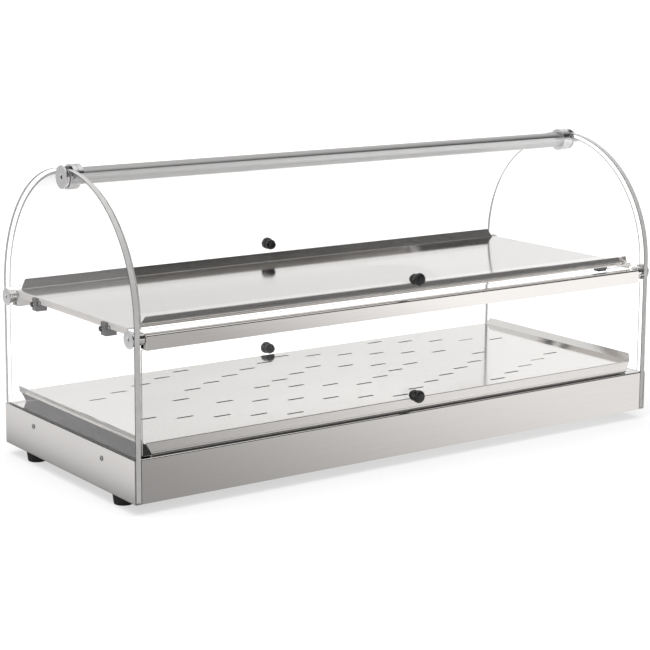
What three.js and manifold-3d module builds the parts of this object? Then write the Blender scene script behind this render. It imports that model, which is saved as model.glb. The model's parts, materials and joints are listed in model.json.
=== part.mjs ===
// Two-tier hot food display case: heated base, clear arched side panels, two trays,
// curved upper doors on a top tube and flat lower flaps on mid rails, front and rear alike.
// Millimetres, +Z up, front towards -Y, origin on the floor under the middle of the case.

import * as THREE from 'three';
import { mergeVertices } from 'three/addons/utils/BufferGeometryUtils.js';
import Module from 'manifold-3d';

const wasm = await Module();
wasm.setup();

// ---- driving dimensions -------------------------------------------------------------------

const LENGTH = 850;          // over the side plates
const DEPTH = 350;           // over the base box and the side panels
const FOOT_HEIGHT = 14;
const BASE_HEIGHT = 56;      // base box, underside to deck
const ARCH_CENTRE = 215;     // centre of the arch above the base box's underside
const GAP = 0.3;             // kept between pieces that touch
const SHEET = 1.2;           // stainless steel sheet
const PANEL = 8;             // acrylic side panels
const DOOR = 3;              // acrylic doors and flaps
const TUBE_RADIUS = 11;
const TUBE_WALL = 1.5;
const TUBE_DROP = 10.6;      // tube axis below the top of the arch
const PIVOT_INSET = 11;      // flap pivots behind the front face
const PIVOT_HEIGHT = 202;    // flap pivots above the base box's underside
const UPPER_TRAY = 213;      // tray faces above the base box's underside
const LOWER_TRAY = 72;
const KNOB_LOWER = 78;       // knob centres above the base box's underside
const KNOB_UPPER = 233;

// ---- places worked out from them ----------------------------------------------------------

const BASE_Z = FOOT_HEIGHT;
const DECK_Z = BASE_Z + BASE_HEIGHT;
const ARCH_Z = BASE_Z + ARCH_CENTRE;
const ARCH_RADIUS = DEPTH / 2;
const FRONT = DEPTH / 2;                              // half depth, used with a sign for each face
const PLATE_OUT = LENGTH / 2;                         // |x| of the side plates' outer faces
const PLATE_IN = PLATE_OUT - SHEET;
const PANEL_OUT = PLATE_IN - GAP;                     // |x| of the acrylic's outer faces
const PANEL_IN = PANEL_OUT - PANEL;
const BOX_END = PANEL_IN - GAP;                       // |x| where the base box ends
const TUBE_Z = ARCH_Z + ARCH_RADIUS - TUBE_DROP;
const PIVOT_Z = BASE_Z + PIVOT_HEIGHT;
const PIVOT_Y = FRONT - PIVOT_INSET;
const CONTROL_Z = BASE_Z + BASE_HEIGHT / 2;
const SCREW_Y = 92.5;                                 // side-plate screws and tray brackets
const SCREW_Z = BASE_Z + 40;

// ---- materials ----------------------------------------------------------------------------

function finish(color, metalness, roughness, opacity = 1) {
  return new THREE.MeshStandardMaterial({
    color, metalness, roughness, opacity, transparent: opacity < 1,
  });
}

const polishedSteel = finish(0xcfcfcd, 1, 0.12);
const satinSteel = finish(0xb9b9b7, 1, 0.32);
const chrome = finish(0xd8d8d8, 1, 0.08);
const acrylic = finish(0xf4f8f8, 0, 0.03, 0.25);
const blackPlastic = finish(0x151515, 0, 0.35);
const blackNylon = finish(0x1c1c1c, 0, 0.5);
const rubber = finish(0x0c0c0c, 0, 0.8);
const silicone = finish(0xb4552e, 0, 0.6);
const mineralBoard = finish(0xd9d4c6, 0, 0.95);
const lampLens = finish(0xd8641c, 0, 0.2);
const whiteCeramic = finish(0xe8e6df, 0, 0.4);

// ---- building helpers ---------------------------------------------------------------------

const displayCase = new THREE.Group();

function addPiece(name, geometry, material) {
  const mesh = new THREE.Mesh(geometry, material);
  mesh.name = name;
  displayCase.add(mesh);
  return mesh;
}

// Welds shared corners, drops collapsed triangles and turns the faces outwards.
function weld(geometry) {
  const bare = geometry.index ? geometry.toNonIndexed() : geometry.clone();
  bare.deleteAttribute('normal');
  bare.deleteAttribute('uv');
  const merged = mergeVertices(bare, 1e-4);
  const position = merged.attributes.position;
  const kept = [];
  const [a, b, c] = [new THREE.Vector3(), new THREE.Vector3(), new THREE.Vector3()];
  let volume = 0;
  for (let i = 0; i < merged.index.count; i += 3) {
    const corners = [0, 1, 2].map((k) => merged.index.getX(i + k));
    if (new Set(corners).size < 3) continue;
    a.fromBufferAttribute(position, corners[0]);
    b.fromBufferAttribute(position, corners[1]);
    c.fromBufferAttribute(position, corners[2]);
    volume += a.dot(b.cross(c));
    kept.push(corners);
  }
  merged.setIndex(kept.map((t) => (volume < 0 ? [t[0], t[2], t[1]] : t)).flat());
  return merged;
}

function toSolid(geometry) {
  const welded = weld(geometry);
  return new wasm.Manifold(new wasm.Mesh({
    numProp: 3,
    vertProperties: new Float32Array(welded.attributes.position.array),
    triVerts: new Uint32Array(welded.index.array),
  }));
}

function fromSolid(solid) {
  const mesh = solid.getMesh();
  const geometry = new THREE.BufferGeometry();
  const corners = new Float32Array(mesh.numVert * 3);
  for (let i = 0; i < mesh.numVert; i += 1) {
    for (let k = 0; k < 3; k += 1) {
      corners[i * 3 + k] = mesh.vertProperties[i * mesh.numProp + k];
    }
  }
  geometry.setAttribute('position', new THREE.BufferAttribute(corners, 3));
  geometry.setIndex(Array.from(mesh.triVerts));
  return geometry;
}

function union(...geometries) {
  return fromSolid(geometries.map(toSolid).reduce((sum, next) => sum.add(next)));
}

function cut(geometry, ...tools) {
  const start = toSolid(geometry);
  return fromSolid(tools.map(toSolid).reduce((rest, tool) => rest.subtract(tool), start));
}

// A box from its low and high corner.
function box(low, high) {
  const size = high.map((value, i) => value - low[i]);
  const centre = high.map((value, i) => (value + low[i]) / 2);
  return new THREE.BoxGeometry(...size).translate(...centre);
}

function points(list) {
  return list.map(([u, v]) => new THREE.Vector2(u, v));
}

// Points on an arc, from one angle to another in degrees.
function arc(u, v, radius, from, to, steps) {
  return Array.from({ length: steps + 1 }, (_, i) => {
    const angle = THREE.MathUtils.degToRad(from + ((to - from) * i) / steps);
    return [u + radius * Math.cos(angle), v + radius * Math.sin(angle)];
  });
}

function circle(u, v, radius, steps) {
  return arc(u, v, radius, 0, 360, steps).slice(0, -1);
}

function outline(list, holes = []) {
  const shape = new THREE.Shape(points(list));
  holes.forEach((hole) => shape.holes.push(new THREE.Path(points(hole))));
  return shape;
}

// A (y, z) outline run along X.
function alongX(shape, from, to) {
  const geometry = new THREE.ExtrudeGeometry(shape, { depth: to - from, bevelEnabled: false });
  const turn = new THREE.Matrix4().makeBasis(
    new THREE.Vector3(0, 1, 0), new THREE.Vector3(0, 0, 1), new THREE.Vector3(1, 0, 0),
  );
  return geometry.applyMatrix4(turn).translate(from, 0, 0);
}

// An (x, z) outline run along Y.
function alongY(shape, from, to) {
  const geometry = new THREE.ExtrudeGeometry(shape, { depth: to - from, bevelEnabled: false });
  return geometry.rotateX(Math.PI / 2).translate(0, to, 0);
}

// An (x, y) outline run up Z.
function alongZ(shape, from, to) {
  const geometry = new THREE.ExtrudeGeometry(shape, { depth: to - from, bevelEnabled: false });
  return geometry.translate(0, 0, from);
}

// A turned piece from (radius, distance) points; the profile starts and ends on the axis.
function turned(profile, steps = 32) {
  return new THREE.LatheGeometry(points(profile), steps);
}

// A turned ring: its profile closes on itself.
function turnedRing(profile, steps = 32) {
  return turned([...profile, profile[0]], steps);
}

// Turned pieces are made upright along Y; these lay them along X outwards, or along Y.
function facingX(geometry, side, y, z) {
  return geometry.rotateZ(side > 0 ? -Math.PI / 2 : Math.PI / 2).translate(0, y, z);
}

function facingY(geometry, face, x, z) {
  return geometry.rotateX(face > 0 ? 0 : Math.PI).translate(x, 0, z);
}

const ENDS = [['left', -1], ['right', 1]];
const FACES = [['front', -1], ['rear', 1]];

// ---- base box -----------------------------------------------------------------------------

const SWITCH = { x: 310, width: 13, height: 19 };
const THERMOSTAT_X = 235;
const LAMP_X = 275;
const GLAND_X = 365;
const GLAND_BORE = 4;          // radius of the cord hole
const SHAFT_RADIUS = 3;

function rearHole(x, radius) {
  const drill = turned([[0, FRONT - 5], [radius, FRONT - 5], [radius, FRONT + 5], [0, FRONT + 5]], 20);
  return facingY(drill, 1, x, CONTROL_Z);
}

function makeBaseCasing() {
  const inner = FRONT - SHEET;
  const section = outline([
    [-FRONT, BASE_Z], [-FRONT, DECK_Z], [FRONT, DECK_Z], [FRONT, BASE_Z],
    [inner, BASE_Z], [inner, DECK_Z - SHEET], [-inner, DECK_Z - SHEET], [-inner, BASE_Z],
  ]);
  const halfWidth = SWITCH.width / 2;
  const halfHeight = SWITCH.height / 2;
  return cut(
    alongX(section, -BOX_END, BOX_END),
    rearHole(THERMOSTAT_X, SHAFT_RADIUS + 1.3),
    rearHole(LAMP_X, 3.8),
    rearHole(GLAND_X, 6.3),
    box([SWITCH.x - halfWidth, inner - 5, CONTROL_Z - halfHeight],
      [SWITCH.x + halfWidth, FRONT + 5, CONTROL_Z + halfHeight]),
  );
}

function makeBasePan() {
  const wall = BOX_END - SHEET;
  const top = DECK_Z - SHEET - GAP;
  const reach = FRONT - SHEET - GAP;
  const section = outline([
    [-BOX_END, BASE_Z], [BOX_END, BASE_Z], [BOX_END, top], [wall, top],
    [wall, BASE_Z + SHEET], [-wall, BASE_Z + SHEET], [-wall, top], [-BOX_END, top],
  ]);
  return alongY(section, -reach, reach);
}

// Angle plates that cover the foot of each acrylic panel, with a lip under its lower edge.
function makeSidePlate(side) {
  const top = DECK_Z - 1;
  const lip = side * (PANEL_IN + 0.1);
  const section = outline([
    [side * PLATE_OUT, BASE_Z], [side * PLATE_OUT, top], [side * PLATE_IN, top],
    [side * PLATE_IN, BASE_Z + SHEET], [lip, BASE_Z + SHEET], [lip, BASE_Z],
  ]);
  const holes = [-SCREW_Y, SCREW_Y].map((y) => facingX(
    turned([[0, PLATE_IN - 2], [2.3, PLATE_IN - 2], [2.3, PLATE_OUT + 2], [0, PLATE_OUT + 2]], 16),
    side, y, SCREW_Z,
  ));
  return cut(alongY(section, -FRONT, FRONT), ...holes);
}

function makePlateScrew(side, y) {
  const head = PLATE_OUT + GAP;
  return facingX(turned([
    [0, PANEL_OUT - 6], [2, PANEL_OUT - 6], [2, head], [3.4, head],
    [3.4, head + 0.5], [2.6, head + 1], [0, head + 1],
  ], 12), side, y, SCREW_Z);
}

function makeFoot(side, face) {
  const radius = 14;
  const upper = BASE_Z - GAP;
  return turned([
    [0, 0], [radius - 2, 0], [radius - 1, 1], [radius, upper - 1], [radius, upper], [0, upper],
  ], 20).rotateX(Math.PI / 2).translate(side * (PLATE_OUT - 17), face * (FRONT - 58), 0);
}

addPiece('base_casing', makeBaseCasing(), polishedSteel);
addPiece('base_pan', makeBasePan(), satinSteel);
addPiece('heating_mat', box([-385, -150, DECK_Z - 3.1], [385, 150, DECK_Z - 1.5]), silicone);
addPiece(
  'insulation_board', box([-385, -135, DECK_Z - 15.4], [385, 135, DECK_Z - 3.4]), mineralBoard,
);

for (const [end, side] of ENDS) {
  addPiece(`${end}_side_plate`, makeSidePlate(side), satinSteel);
  for (const [where, face] of FACES) {
    addPiece(`plate_screw_${where}_${end}`, makePlateScrew(side, face * SCREW_Y), satinSteel);
    addPiece(`foot_${where}_${end}`, makeFoot(side, face), rubber);
  }
}

// ---- controls on the rear of the base ------------------------------------------------------

const WALL_OUT = FRONT + GAP;
const WALL_IN = FRONT - SHEET - GAP;

function makeThermostat() {
  const body = box(
    [THERMOSTAT_X - 14, WALL_IN - 32, CONTROL_Z - 12],
    [THERMOSTAT_X + 14, WALL_IN, CONTROL_Z + 10],
  );
  const shaft = facingY(turned([
    [0, WALL_IN - 2], [SHAFT_RADIUS, WALL_IN - 2], [SHAFT_RADIUS, WALL_OUT + 8], [0, WALL_OUT + 8],
  ], 20), 1, THERMOSTAT_X, CONTROL_Z);
  return union(body, shaft);
}

// The knob turns on the shaft and has a raised pointer across its face.
function makeThermostatKnob() {
  const bore = SHAFT_RADIUS + GAP;
  const back = WALL_OUT + 0.6;
  const face = back + 11.6;
  const cap = facingY(turned([
    [0, back + 8.6], [bore, back + 8.6], [bore, back], [12, back], [12, back + 2], [10, back + 3],
    [9.2, face - 1], [8.4, face], [0, face],
  ], 24), 1, THERMOSTAT_X, CONTROL_Z);
  const pointer = box(
    [THERMOSTAT_X - 1.2, face - 0.5, CONTROL_Z - 2],
    [THERMOSTAT_X + 1.2, face + 0.9, CONTROL_Z + 8],
  );
  return union(cap, pointer);
}

// A box on the switch's centre line that is larger than its cut-out by a margin all round.
function switchBox(margin, from, to) {
  const halfWidth = SWITCH.width / 2 + margin;
  const halfHeight = SWITCH.height / 2 + margin;
  return box(
    [SWITCH.x - halfWidth, from, CONTROL_Z - halfHeight],
    [SWITCH.x + halfWidth, to, CONTROL_Z + halfHeight],
  );
}

function makeSwitchHousing() {
  const bezel = switchBox(1, WALL_OUT, WALL_OUT + 1.6);
  const body = switchBox(-GAP, WALL_IN - 20, WALL_OUT + 1);
  const pocket = switchBox(-1.3, WALL_OUT - 8, WALL_OUT + 9);
  return cut(union(bezel, body), pocket);
}

// A see-saw rocker about an axis along X, lying with its upper end pressed in.
const ROCKER_TILT = 10;
const ROCKER_PIVOT_Y = FRONT - 0.5;

function makeRocker() {
  const halfWidth = SWITCH.width / 2 - 1.7;
  const section = outline([
    [-3.5, 0], [-1, -6.2], [4.2, -7.2], [3.2, -3.6], [2.8, 0], [3.2, 3.6], [4.2, 7.2], [-1, 6.2],
  ]);
  return alongX(section, -halfWidth, halfWidth)
    .rotateX(THREE.MathUtils.degToRad(ROCKER_TILT))
    .translate(SWITCH.x, ROCKER_PIVOT_Y, CONTROL_Z);
}

function makePilotLamp() {
  return facingY(turned([
    [0, WALL_IN - 14], [3, WALL_IN - 14], [3, WALL_IN - 4], [4.6, WALL_IN - 4], [4.6, WALL_IN],
    [3.5, WALL_IN], [3.5, WALL_OUT], [5, WALL_OUT], [5, WALL_OUT + 1], [4.2, WALL_OUT + 1.4],
    [3, WALL_OUT + 3.4], [0, WALL_OUT + 4],
  ], 14), 1, LAMP_X, CONTROL_Z);
}

function makeCableGland() {
  return facingY(turnedRing([
    [GLAND_BORE, WALL_IN - 8], [6, WALL_IN - 8], [6, WALL_IN - 5], [9, WALL_IN - 5], [9, WALL_IN],
    [6, WALL_IN], [6, WALL_OUT], [9.5, WALL_OUT], [9.5, WALL_OUT + 4], [8.5, WALL_OUT + 4.6],
    [8, WALL_OUT + 9], [6, WALL_OUT + 11.5], [GLAND_BORE, WALL_OUT + 11.5],
  ], 18), 1, GLAND_X, CONTROL_Z);
}

// Three-way terminal strip: one block with a groove between the ways.
function makeTerminalBlock() {
  const height = 17;
  const grooves = [-4.5, 4.5].flatMap((x) => [
    [x - 0.8, height], [x - 0.8, 9], [x + 0.8, 9], [x + 0.8, height],
  ]);
  const section = outline([[-14, 0], [-14, height], ...grooves, [14, height], [14, 0]]);
  return alongY(section, 0, 16).translate(GLAND_X, 118, BASE_Z + SHEET + GAP);
}

addPiece('thermostat_body', makeThermostat(), satinSteel);
addPiece('thermostat_knob', makeThermostatKnob(), blackPlastic);
addPiece('switch_housing', makeSwitchHousing(), blackPlastic);
addPiece('switch_rocker', makeRocker(), blackPlastic);
addPiece('pilot_lamp', makePilotLamp(), lampLens);
addPiece('cable_gland', makeCableGland(), blackNylon);
addPiece('terminal_block', makeTerminalBlock(), whiteCeramic);

// ---- acrylic side panels -------------------------------------------------------------------

const BUSH_RADIUS = 13;
const HUB_RADIUS = 8.5;
const RIVET_RADIUS = 2;
const BRACKET_Z = BASE_Z + 203;

// The top bush sits in a round notch that breaks through the top of the arch.
function makeSidePanel(side) {
  const bottom = BASE_Z + SHEET + GAP;
  const holes = [];
  for (const [, face] of FACES) {
    holes.push(circle(face * PIVOT_Y, PIVOT_Z, HUB_RADIUS + GAP, 20));
    holes.push(circle(face * SCREW_Y, BRACKET_Z, RIVET_RADIUS + GAP, 12));
    holes.push(circle(face * SCREW_Y, SCREW_Z, RIVET_RADIUS + GAP, 12));
  }
  const shape = outline(
    [[-FRONT, bottom], [FRONT, bottom], ...arc(0, ARCH_Z, ARCH_RADIUS, 0, 180, 48)], holes,
  );
  const [from, to] = side > 0 ? [PANEL_IN, PANEL_OUT] : [-PANEL_OUT, -PANEL_IN];
  const notch = alongX(outline(circle(0, TUBE_Z, BUSH_RADIUS + GAP, 24)), from - 1, to + 1);
  return cut(alongX(shape, from, to), notch);
}

for (const [end, side] of ENDS) {
  addPiece(`${end}_side_panel`, makeSidePanel(side), acrylic);
}

// ---- top tube with its bushes, caps and hinge collars ---------------------------------------

const COLLAR_RADIUS = 15.8;
const COLLAR_WIDTH = 6.7;
const DOOR_OUTER = ARCH_RADIUS - 4;
const DOOR_INNER = DOOR_OUTER - DOOR;
const DOOR_END = PANEL_IN - 3.5;
const DOOR_TOP_Y = COLLAR_RADIUS + 1;     // the doors stop just clear of the collars

function makeTopTube() {
  const bore = TUBE_RADIUS - TUBE_WALL;
  return facingX(turnedRing([
    [bore, -BOX_END], [TUBE_RADIUS, -BOX_END], [TUBE_RADIUS, BOX_END], [bore, BOX_END],
  ], 24), 1, 0, TUBE_Z);
}

function makeTopBush(side) {
  const spigot = TUBE_RADIUS - TUBE_WALL - GAP;
  return facingX(turned([
    [0, PANEL_IN - 15], [spigot - 1, PANEL_IN - 15], [spigot, PANEL_IN - 14], [spigot, PANEL_IN],
    [BUSH_RADIUS, PANEL_IN], [BUSH_RADIUS, PANEL_OUT], [0, PANEL_OUT],
  ], 24), side, 0, TUBE_Z);
}

// A turned disc with a small hole in its middle, on the outside of a panel.
function makeCap(side, radius, thickness, hole, y, z) {
  const back = PANEL_OUT + GAP;
  const front = back + thickness;
  return facingX(turnedRing([
    [hole, back], [radius, back], [radius, front - 0.7], [radius - 0.7, front], [hole + 0.5, front],
    [hole, front - 0.5],
  ], 24), side, y, z);
}

// A ring round the tube with a tongue that follows the inside of its door.
function makeCollar(side, face, row) {
  const outer = PANEL_IN - 0.8 - row * (COLLAR_WIDTH + 0.4);
  const [from, to] = side > 0 ? [outer - COLLAR_WIDTH, outer] : [-outer, COLLAR_WIDTH - outer];
  const tongueOuter = DOOR_INNER - GAP;
  const tongueInner = tongueOuter - 2.8;
  const start = 90 - 4;
  const end = 90 - 11;
  const tongue = [
    ...arc(0, ARCH_Z, tongueInner, start, end, 4),
    ...arc(0, ARCH_Z, tongueOuter, end, start, 4),
  ].map(([y, z]) => [face * y, z]);
  return cut(
    union(
      alongX(outline(circle(0, TUBE_Z, COLLAR_RADIUS, 24)), from, to),
      alongX(outline(tongue), from, to),
    ),
    alongX(outline(circle(0, TUBE_Z, TUBE_RADIUS + GAP, 24)), from - 1, to + 1),
  );
}

addPiece('top_tube', makeTopTube(), polishedSteel);
for (const [end, side] of ENDS) {
  addPiece(`top_bush_${end}`, makeTopBush(side), blackNylon);
  addPiece(`top_cap_${end}`, makeCap(side, 15, 2.4, 2.6, 0, TUBE_Z), chrome);
  FACES.forEach(([where, face], row) => {
    addPiece(`door_collar_${where}_${end}`, makeCollar(side, face, row), chrome);
  });
}

// ---- doors, flaps and their knobs ------------------------------------------------------------

const KNOB_SHANK = 2;
const KNOB_LIFT = THREE.MathUtils.radToDeg(Math.asin((KNOB_UPPER - ARCH_CENTRE) / DOOR_OUTER));
const FLAP_OUT = FRONT - 2.6;             // |y| of the flaps' outer faces
const FLAP_IN = FLAP_OUT - DOOR;
const FLAP_TOP = BASE_Z + 198.7;
const FLAP_BOTTOM = DECK_Z + 2.3;

// A waisted knob, its shank through the sheet and a nut inside, turned along Y.
function makeKnob(face) {
  const seat = GAP;
  const nut = -DOOR - GAP;
  return facingY(turned([
    [0, nut - 2.4], [4.6, nut - 2.4], [5.4, nut - 1.6], [5.4, nut], [KNOB_SHANK, nut],
    [KNOB_SHANK, seat], [6.6, seat], [6.6, seat + 2], [4.8, seat + 3.6], [5, seat + 5.6],
    [8, seat + 8], [8.5, seat + 9.6], [8.5, seat + 12.6], [7.6, seat + 14.4], [5, seat + 15.2],
    [0, seat + 15.4],
  ], 20), face, 0, 0);
}

// Moves a piece made for the front or rear face to a knob's place on the curved door.
function onCurvedDoor(geometry, face) {
  return geometry
    .translate(0, face * DOOR_OUTER, 0)
    .rotateX(THREE.MathUtils.degToRad(face * KNOB_LIFT))
    .translate(0, 0, ARCH_Z);
}

function onFlap(geometry, face) {
  return geometry.translate(0, face * FLAP_OUT, BASE_Z + KNOB_LOWER);
}

function shankHole(face) {
  const radius = KNOB_SHANK + GAP;
  return facingY(turned([[0, -8], [radius, -8], [radius, 5], [0, 5]], 16), face, 0, 0);
}

function makeUpperDoor(face) {
  const bottom = BASE_Z + 213.8;
  const top = THREE.MathUtils.radToDeg(Math.acos(DOOR_TOP_Y / DOOR_INNER));
  const section = outline([
    [DOOR_INNER, bottom], [DOOR_OUTER, bottom],
    ...arc(0, ARCH_Z, DOOR_OUTER, 0, top, 28),
    ...arc(0, ARCH_Z, DOOR_INNER, top, 0, 28),
  ].map(([y, z]) => [face * y, z]));
  return cut(alongX(section, -DOOR_END, DOOR_END), onCurvedDoor(shankHole(face), face));
}

// A flat flap whose top corners are notched to clear the pivot hubs.
function makeFlap(face) {
  const notch = RAIL_END - 0.4;
  const shoulder = BASE_Z + 189;
  const shape = outline([
    [-DOOR_END, FLAP_BOTTOM], [DOOR_END, FLAP_BOTTOM], [DOOR_END, shoulder], [notch, shoulder],
    [notch, FLAP_TOP], [-notch, FLAP_TOP], [-notch, shoulder], [-DOOR_END, shoulder],
  ]);
  const [from, to] = face > 0 ? [FLAP_IN, FLAP_OUT] : [-FLAP_OUT, -FLAP_IN];
  return cut(alongY(shape, from, to), onFlap(shankHole(face), face));
}

// ---- mid rails on their pivots ---------------------------------------------------------------

const HUB_END = PANEL_IN - 8.7;
const RAIL_END = HUB_END - 0.4;
const PIN_RADIUS = 2.8;

// Rail section: a hollow bar with a slot in its underside that grips the flap.
function makeMidRail(face) {
  const bottom = BASE_Z + 188;
  const top = BASE_Z + 207;
  const lip = FRONT - 1.1;
  const slotOut = FLAP_OUT + GAP;
  const slotIn = FLAP_IN - GAP;
  const back = FRONT - 15.5;
  const slotTop = FLAP_TOP + GAP;
  const wall = 1.3;
  const section = outline([
    [lip, bottom], [lip, top - 1], [lip - 1, top], [back + 1, top], [back, top - 1], [back, bottom],
    [slotIn, bottom], [slotIn, slotTop], [slotOut, slotTop], [slotOut, bottom],
  ].map(([y, z]) => [face * y, z]));
  const bore = [back + wall, slotIn - wall].map((y) => face * y).sort((a, b) => a - b);
  return cut(
    alongX(section, -RAIL_END, RAIL_END),
    box([-RAIL_END - 1, bore[0], bottom + wall], [RAIL_END + 1, bore[1], top - wall]),
  );
}

function makePivotHub(side, face) {
  return facingX(turned([
    [0, HUB_END - 14], [PIN_RADIUS, HUB_END - 14], [PIN_RADIUS, HUB_END],
    [HUB_RADIUS - 0.8, HUB_END], [HUB_RADIUS, HUB_END + 0.8], [HUB_RADIUS, PANEL_OUT], [0, PANEL_OUT],
  ], 20), side, face * PIVOT_Y, PIVOT_Z);
}

for (const [where, face] of FACES) {
  addPiece(`${where}_upper_door`, makeUpperDoor(face), acrylic);
  addPiece(`${where}_upper_knob`, onCurvedDoor(makeKnob(face), face), blackPlastic);
  addPiece(`${where}_lower_flap`, makeFlap(face), acrylic);
  addPiece(`${where}_lower_knob`, onFlap(makeKnob(face), face), blackPlastic);
  addPiece(`${where}_mid_rail`, makeMidRail(face), polishedSteel);
  for (const [end, side] of ENDS) {
    addPiece(`pivot_hub_${where}_${end}`, makePivotHub(side, face), polishedSteel);
    addPiece(`pivot_cap_${where}_${end}`, makeCap(side, 11.5, 2.2, 2.2, face * PIVOT_Y, PIVOT_Z), chrome);
  }
}

// ---- trays -------------------------------------------------------------------------------------

// A trapezium of sheet that stands on, or hangs from, one edge of a tray and leans outwards.
// It is drawn along +X at the tray's +Y edge, then turned to the edge it belongs to.
function makeFlange({ length, edge, height, lean, insetAtFold, insetAtTip }, quarterTurns, z) {
  const reach = Math.hypot(height, lean);
  const half = length / 2;
  const plate = new THREE.ExtrudeGeometry(outline([
    [-half + insetAtFold, -0.4], [half - insetAtFold, -0.4],
    [half - insetAtTip, reach], [-half + insetAtTip, reach],
  ]), { depth: SHEET, bevelEnabled: false });
  const tilt = Math.atan2(lean, height);
  const upright = plate.rotateX(Math.PI / 2).translate(0, SHEET, 0);
  const leaning = height > 0 ? upright.rotateX(-tilt) : upright;
  return leaning
    .translate(0, edge - SHEET, 0)
    .rotateZ((quarterTurns * Math.PI) / 2)
    .translate(0, 0, z);
}

// A flange that hangs down is the standing one mirrored in the tray's face.
function makeLip(options, quarterTurns, z) {
  return makeFlange(options, quarterTurns, 0).scale(1, 1, -1).translate(0, 0, z);
}

// Slots lie on a grid, in rows that mirror about the tray's middle. Each row lists its columns
// to one side of the middle; row 0 is the middle one.
const SLOT_PITCH_X = 42.6;
const SLOT_PITCH_Y = 20.4;
const SLOT_LENGTH = 26;
const SLOT_WIDTH = 3.4;
const SLOT_COLUMNS = [[3, 6], [2], [1, 5], [0, 4, 8], [3, 7], [2, 6], [1, 5], [0, 4]];

function makeSlot(x, y) {
  const radius = SLOT_WIDTH / 2;
  const straight = SLOT_LENGTH / 2 - radius;
  return [
    ...arc(x + straight, y, radius, -90, 90, 3),
    ...arc(x - straight, y, radius, 90, 270, 3),
  ];
}

function makeSlots() {
  const slots = [];
  for (let row = 1 - SLOT_COLUMNS.length; row < SLOT_COLUMNS.length; row += 1) {
    for (const column of SLOT_COLUMNS[Math.abs(row)]) {
      for (const mirrored of new Set([column, -column])) {
        slots.push(makeSlot(mirrored * SLOT_PITCH_X, row * SLOT_PITCH_Y));
      }
    }
  }
  return slots;
}

function plate(halfX, halfY, top, holes = []) {
  const corners = [[-halfX, -halfY], [halfX, -halfY], [halfX, halfY], [-halfX, halfY]];
  return alongZ(outline(corners, holes), top - SHEET, top);
}

function makeLowerTray() {
  const halfX = 406;
  const halfY = 163.5;
  const top = BASE_Z + LOWER_TRAY;
  const lip = {
    length: 2 * halfX, edge: halfY, height: top - DECK_Z - GAP, lean: 4.6,
    insetAtFold: 2, insetAtTip: 11,
  };
  const rim = {
    length: 2 * halfY, edge: halfX, height: 9.5, lean: 3.6, insetAtFold: 3, insetAtTip: 9,
  };
  return union(
    plate(halfX, halfY, top, makeSlots()),
    makeLip(lip, 0, top), makeLip(lip, 2, top),
    makeFlange(rim, 1, top - SHEET), makeFlange(rim, 3, top - SHEET),
  );
}

const UPPER_TRAY_END = PANEL_IN - 2.3;
const LIP_DEPTH = 8.5;

function makeUpperTray() {
  const halfY = 151;
  const top = BASE_Z + UPPER_TRAY;
  const rim = {
    length: 2 * UPPER_TRAY_END, edge: halfY, height: 12.4, lean: 3.6,
    insetAtFold: 8, insetAtTip: 16,
  };
  const lip = {
    length: 2 * halfY, edge: UPPER_TRAY_END, height: LIP_DEPTH, lean: 0,
    insetAtFold: 1, insetAtTip: 4,
  };
  return union(
    plate(UPPER_TRAY_END, halfY, top),
    makeFlange(rim, 0, top - SHEET), makeFlange(rim, 2, top - SHEET),
    makeLip(lip, 1, top), makeLip(lip, 3, top),
  );
}

// A moulded angle riveted to the panel; the tray's end lip rests on its foot.
function makeTrayBracket(side, face) {
  const legFace = PANEL_IN - GAP;
  const legThickness = 1.5;
  const foot = legFace - legThickness;
  const low = BASE_Z + 194;
  const footTop = BASE_Z + UPPER_TRAY - LIP_DEPTH - GAP;
  const y = face * SCREW_Y;
  const section = outline([
    [legFace, low], [legFace, low + 17], [foot, low + 17], [foot, footTop],
    [foot - 11, footTop], [foot - 14, footTop - 3], [foot - 14, low],
  ].map(([x, z]) => [side * x, z]));
  const rivet = facingX(turned([
    [0, foot + 0.2], [RIVET_RADIUS, foot + 0.2], [RIVET_RADIUS, PANEL_OUT + GAP],
    [3.6, PANEL_OUT + GAP], [3, PANEL_OUT + 1.4], [0, PANEL_OUT + 1.7],
  ], 12), side, y, BRACKET_Z);
  return union(alongY(section, y - 6, y + 6), rivet);
}

addPiece('upper_tray', makeUpperTray(), polishedSteel);
addPiece('lower_tray', makeLowerTray(), polishedSteel);
for (const [end, side] of ENDS) {
  for (const [where, face] of FACES) {
    addPiece(`tray_bracket_${where}_${end}`, makeTrayBracket(side, face), blackNylon);
  }
}

export default displayCase;
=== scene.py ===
"""Finished looks of a two-tier hot food display case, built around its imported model.

Run as a script. Geometry is drawn in millimetres in the case's own frame: +Z up,
front towards -Y, origin on the floor under the middle of the case.
"""

import json
import math

import bmesh
import bpy
from bpy.props import FloatProperty, FloatVectorProperty, IntProperty, PointerProperty
from mathutils import Matrix, Vector


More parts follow.
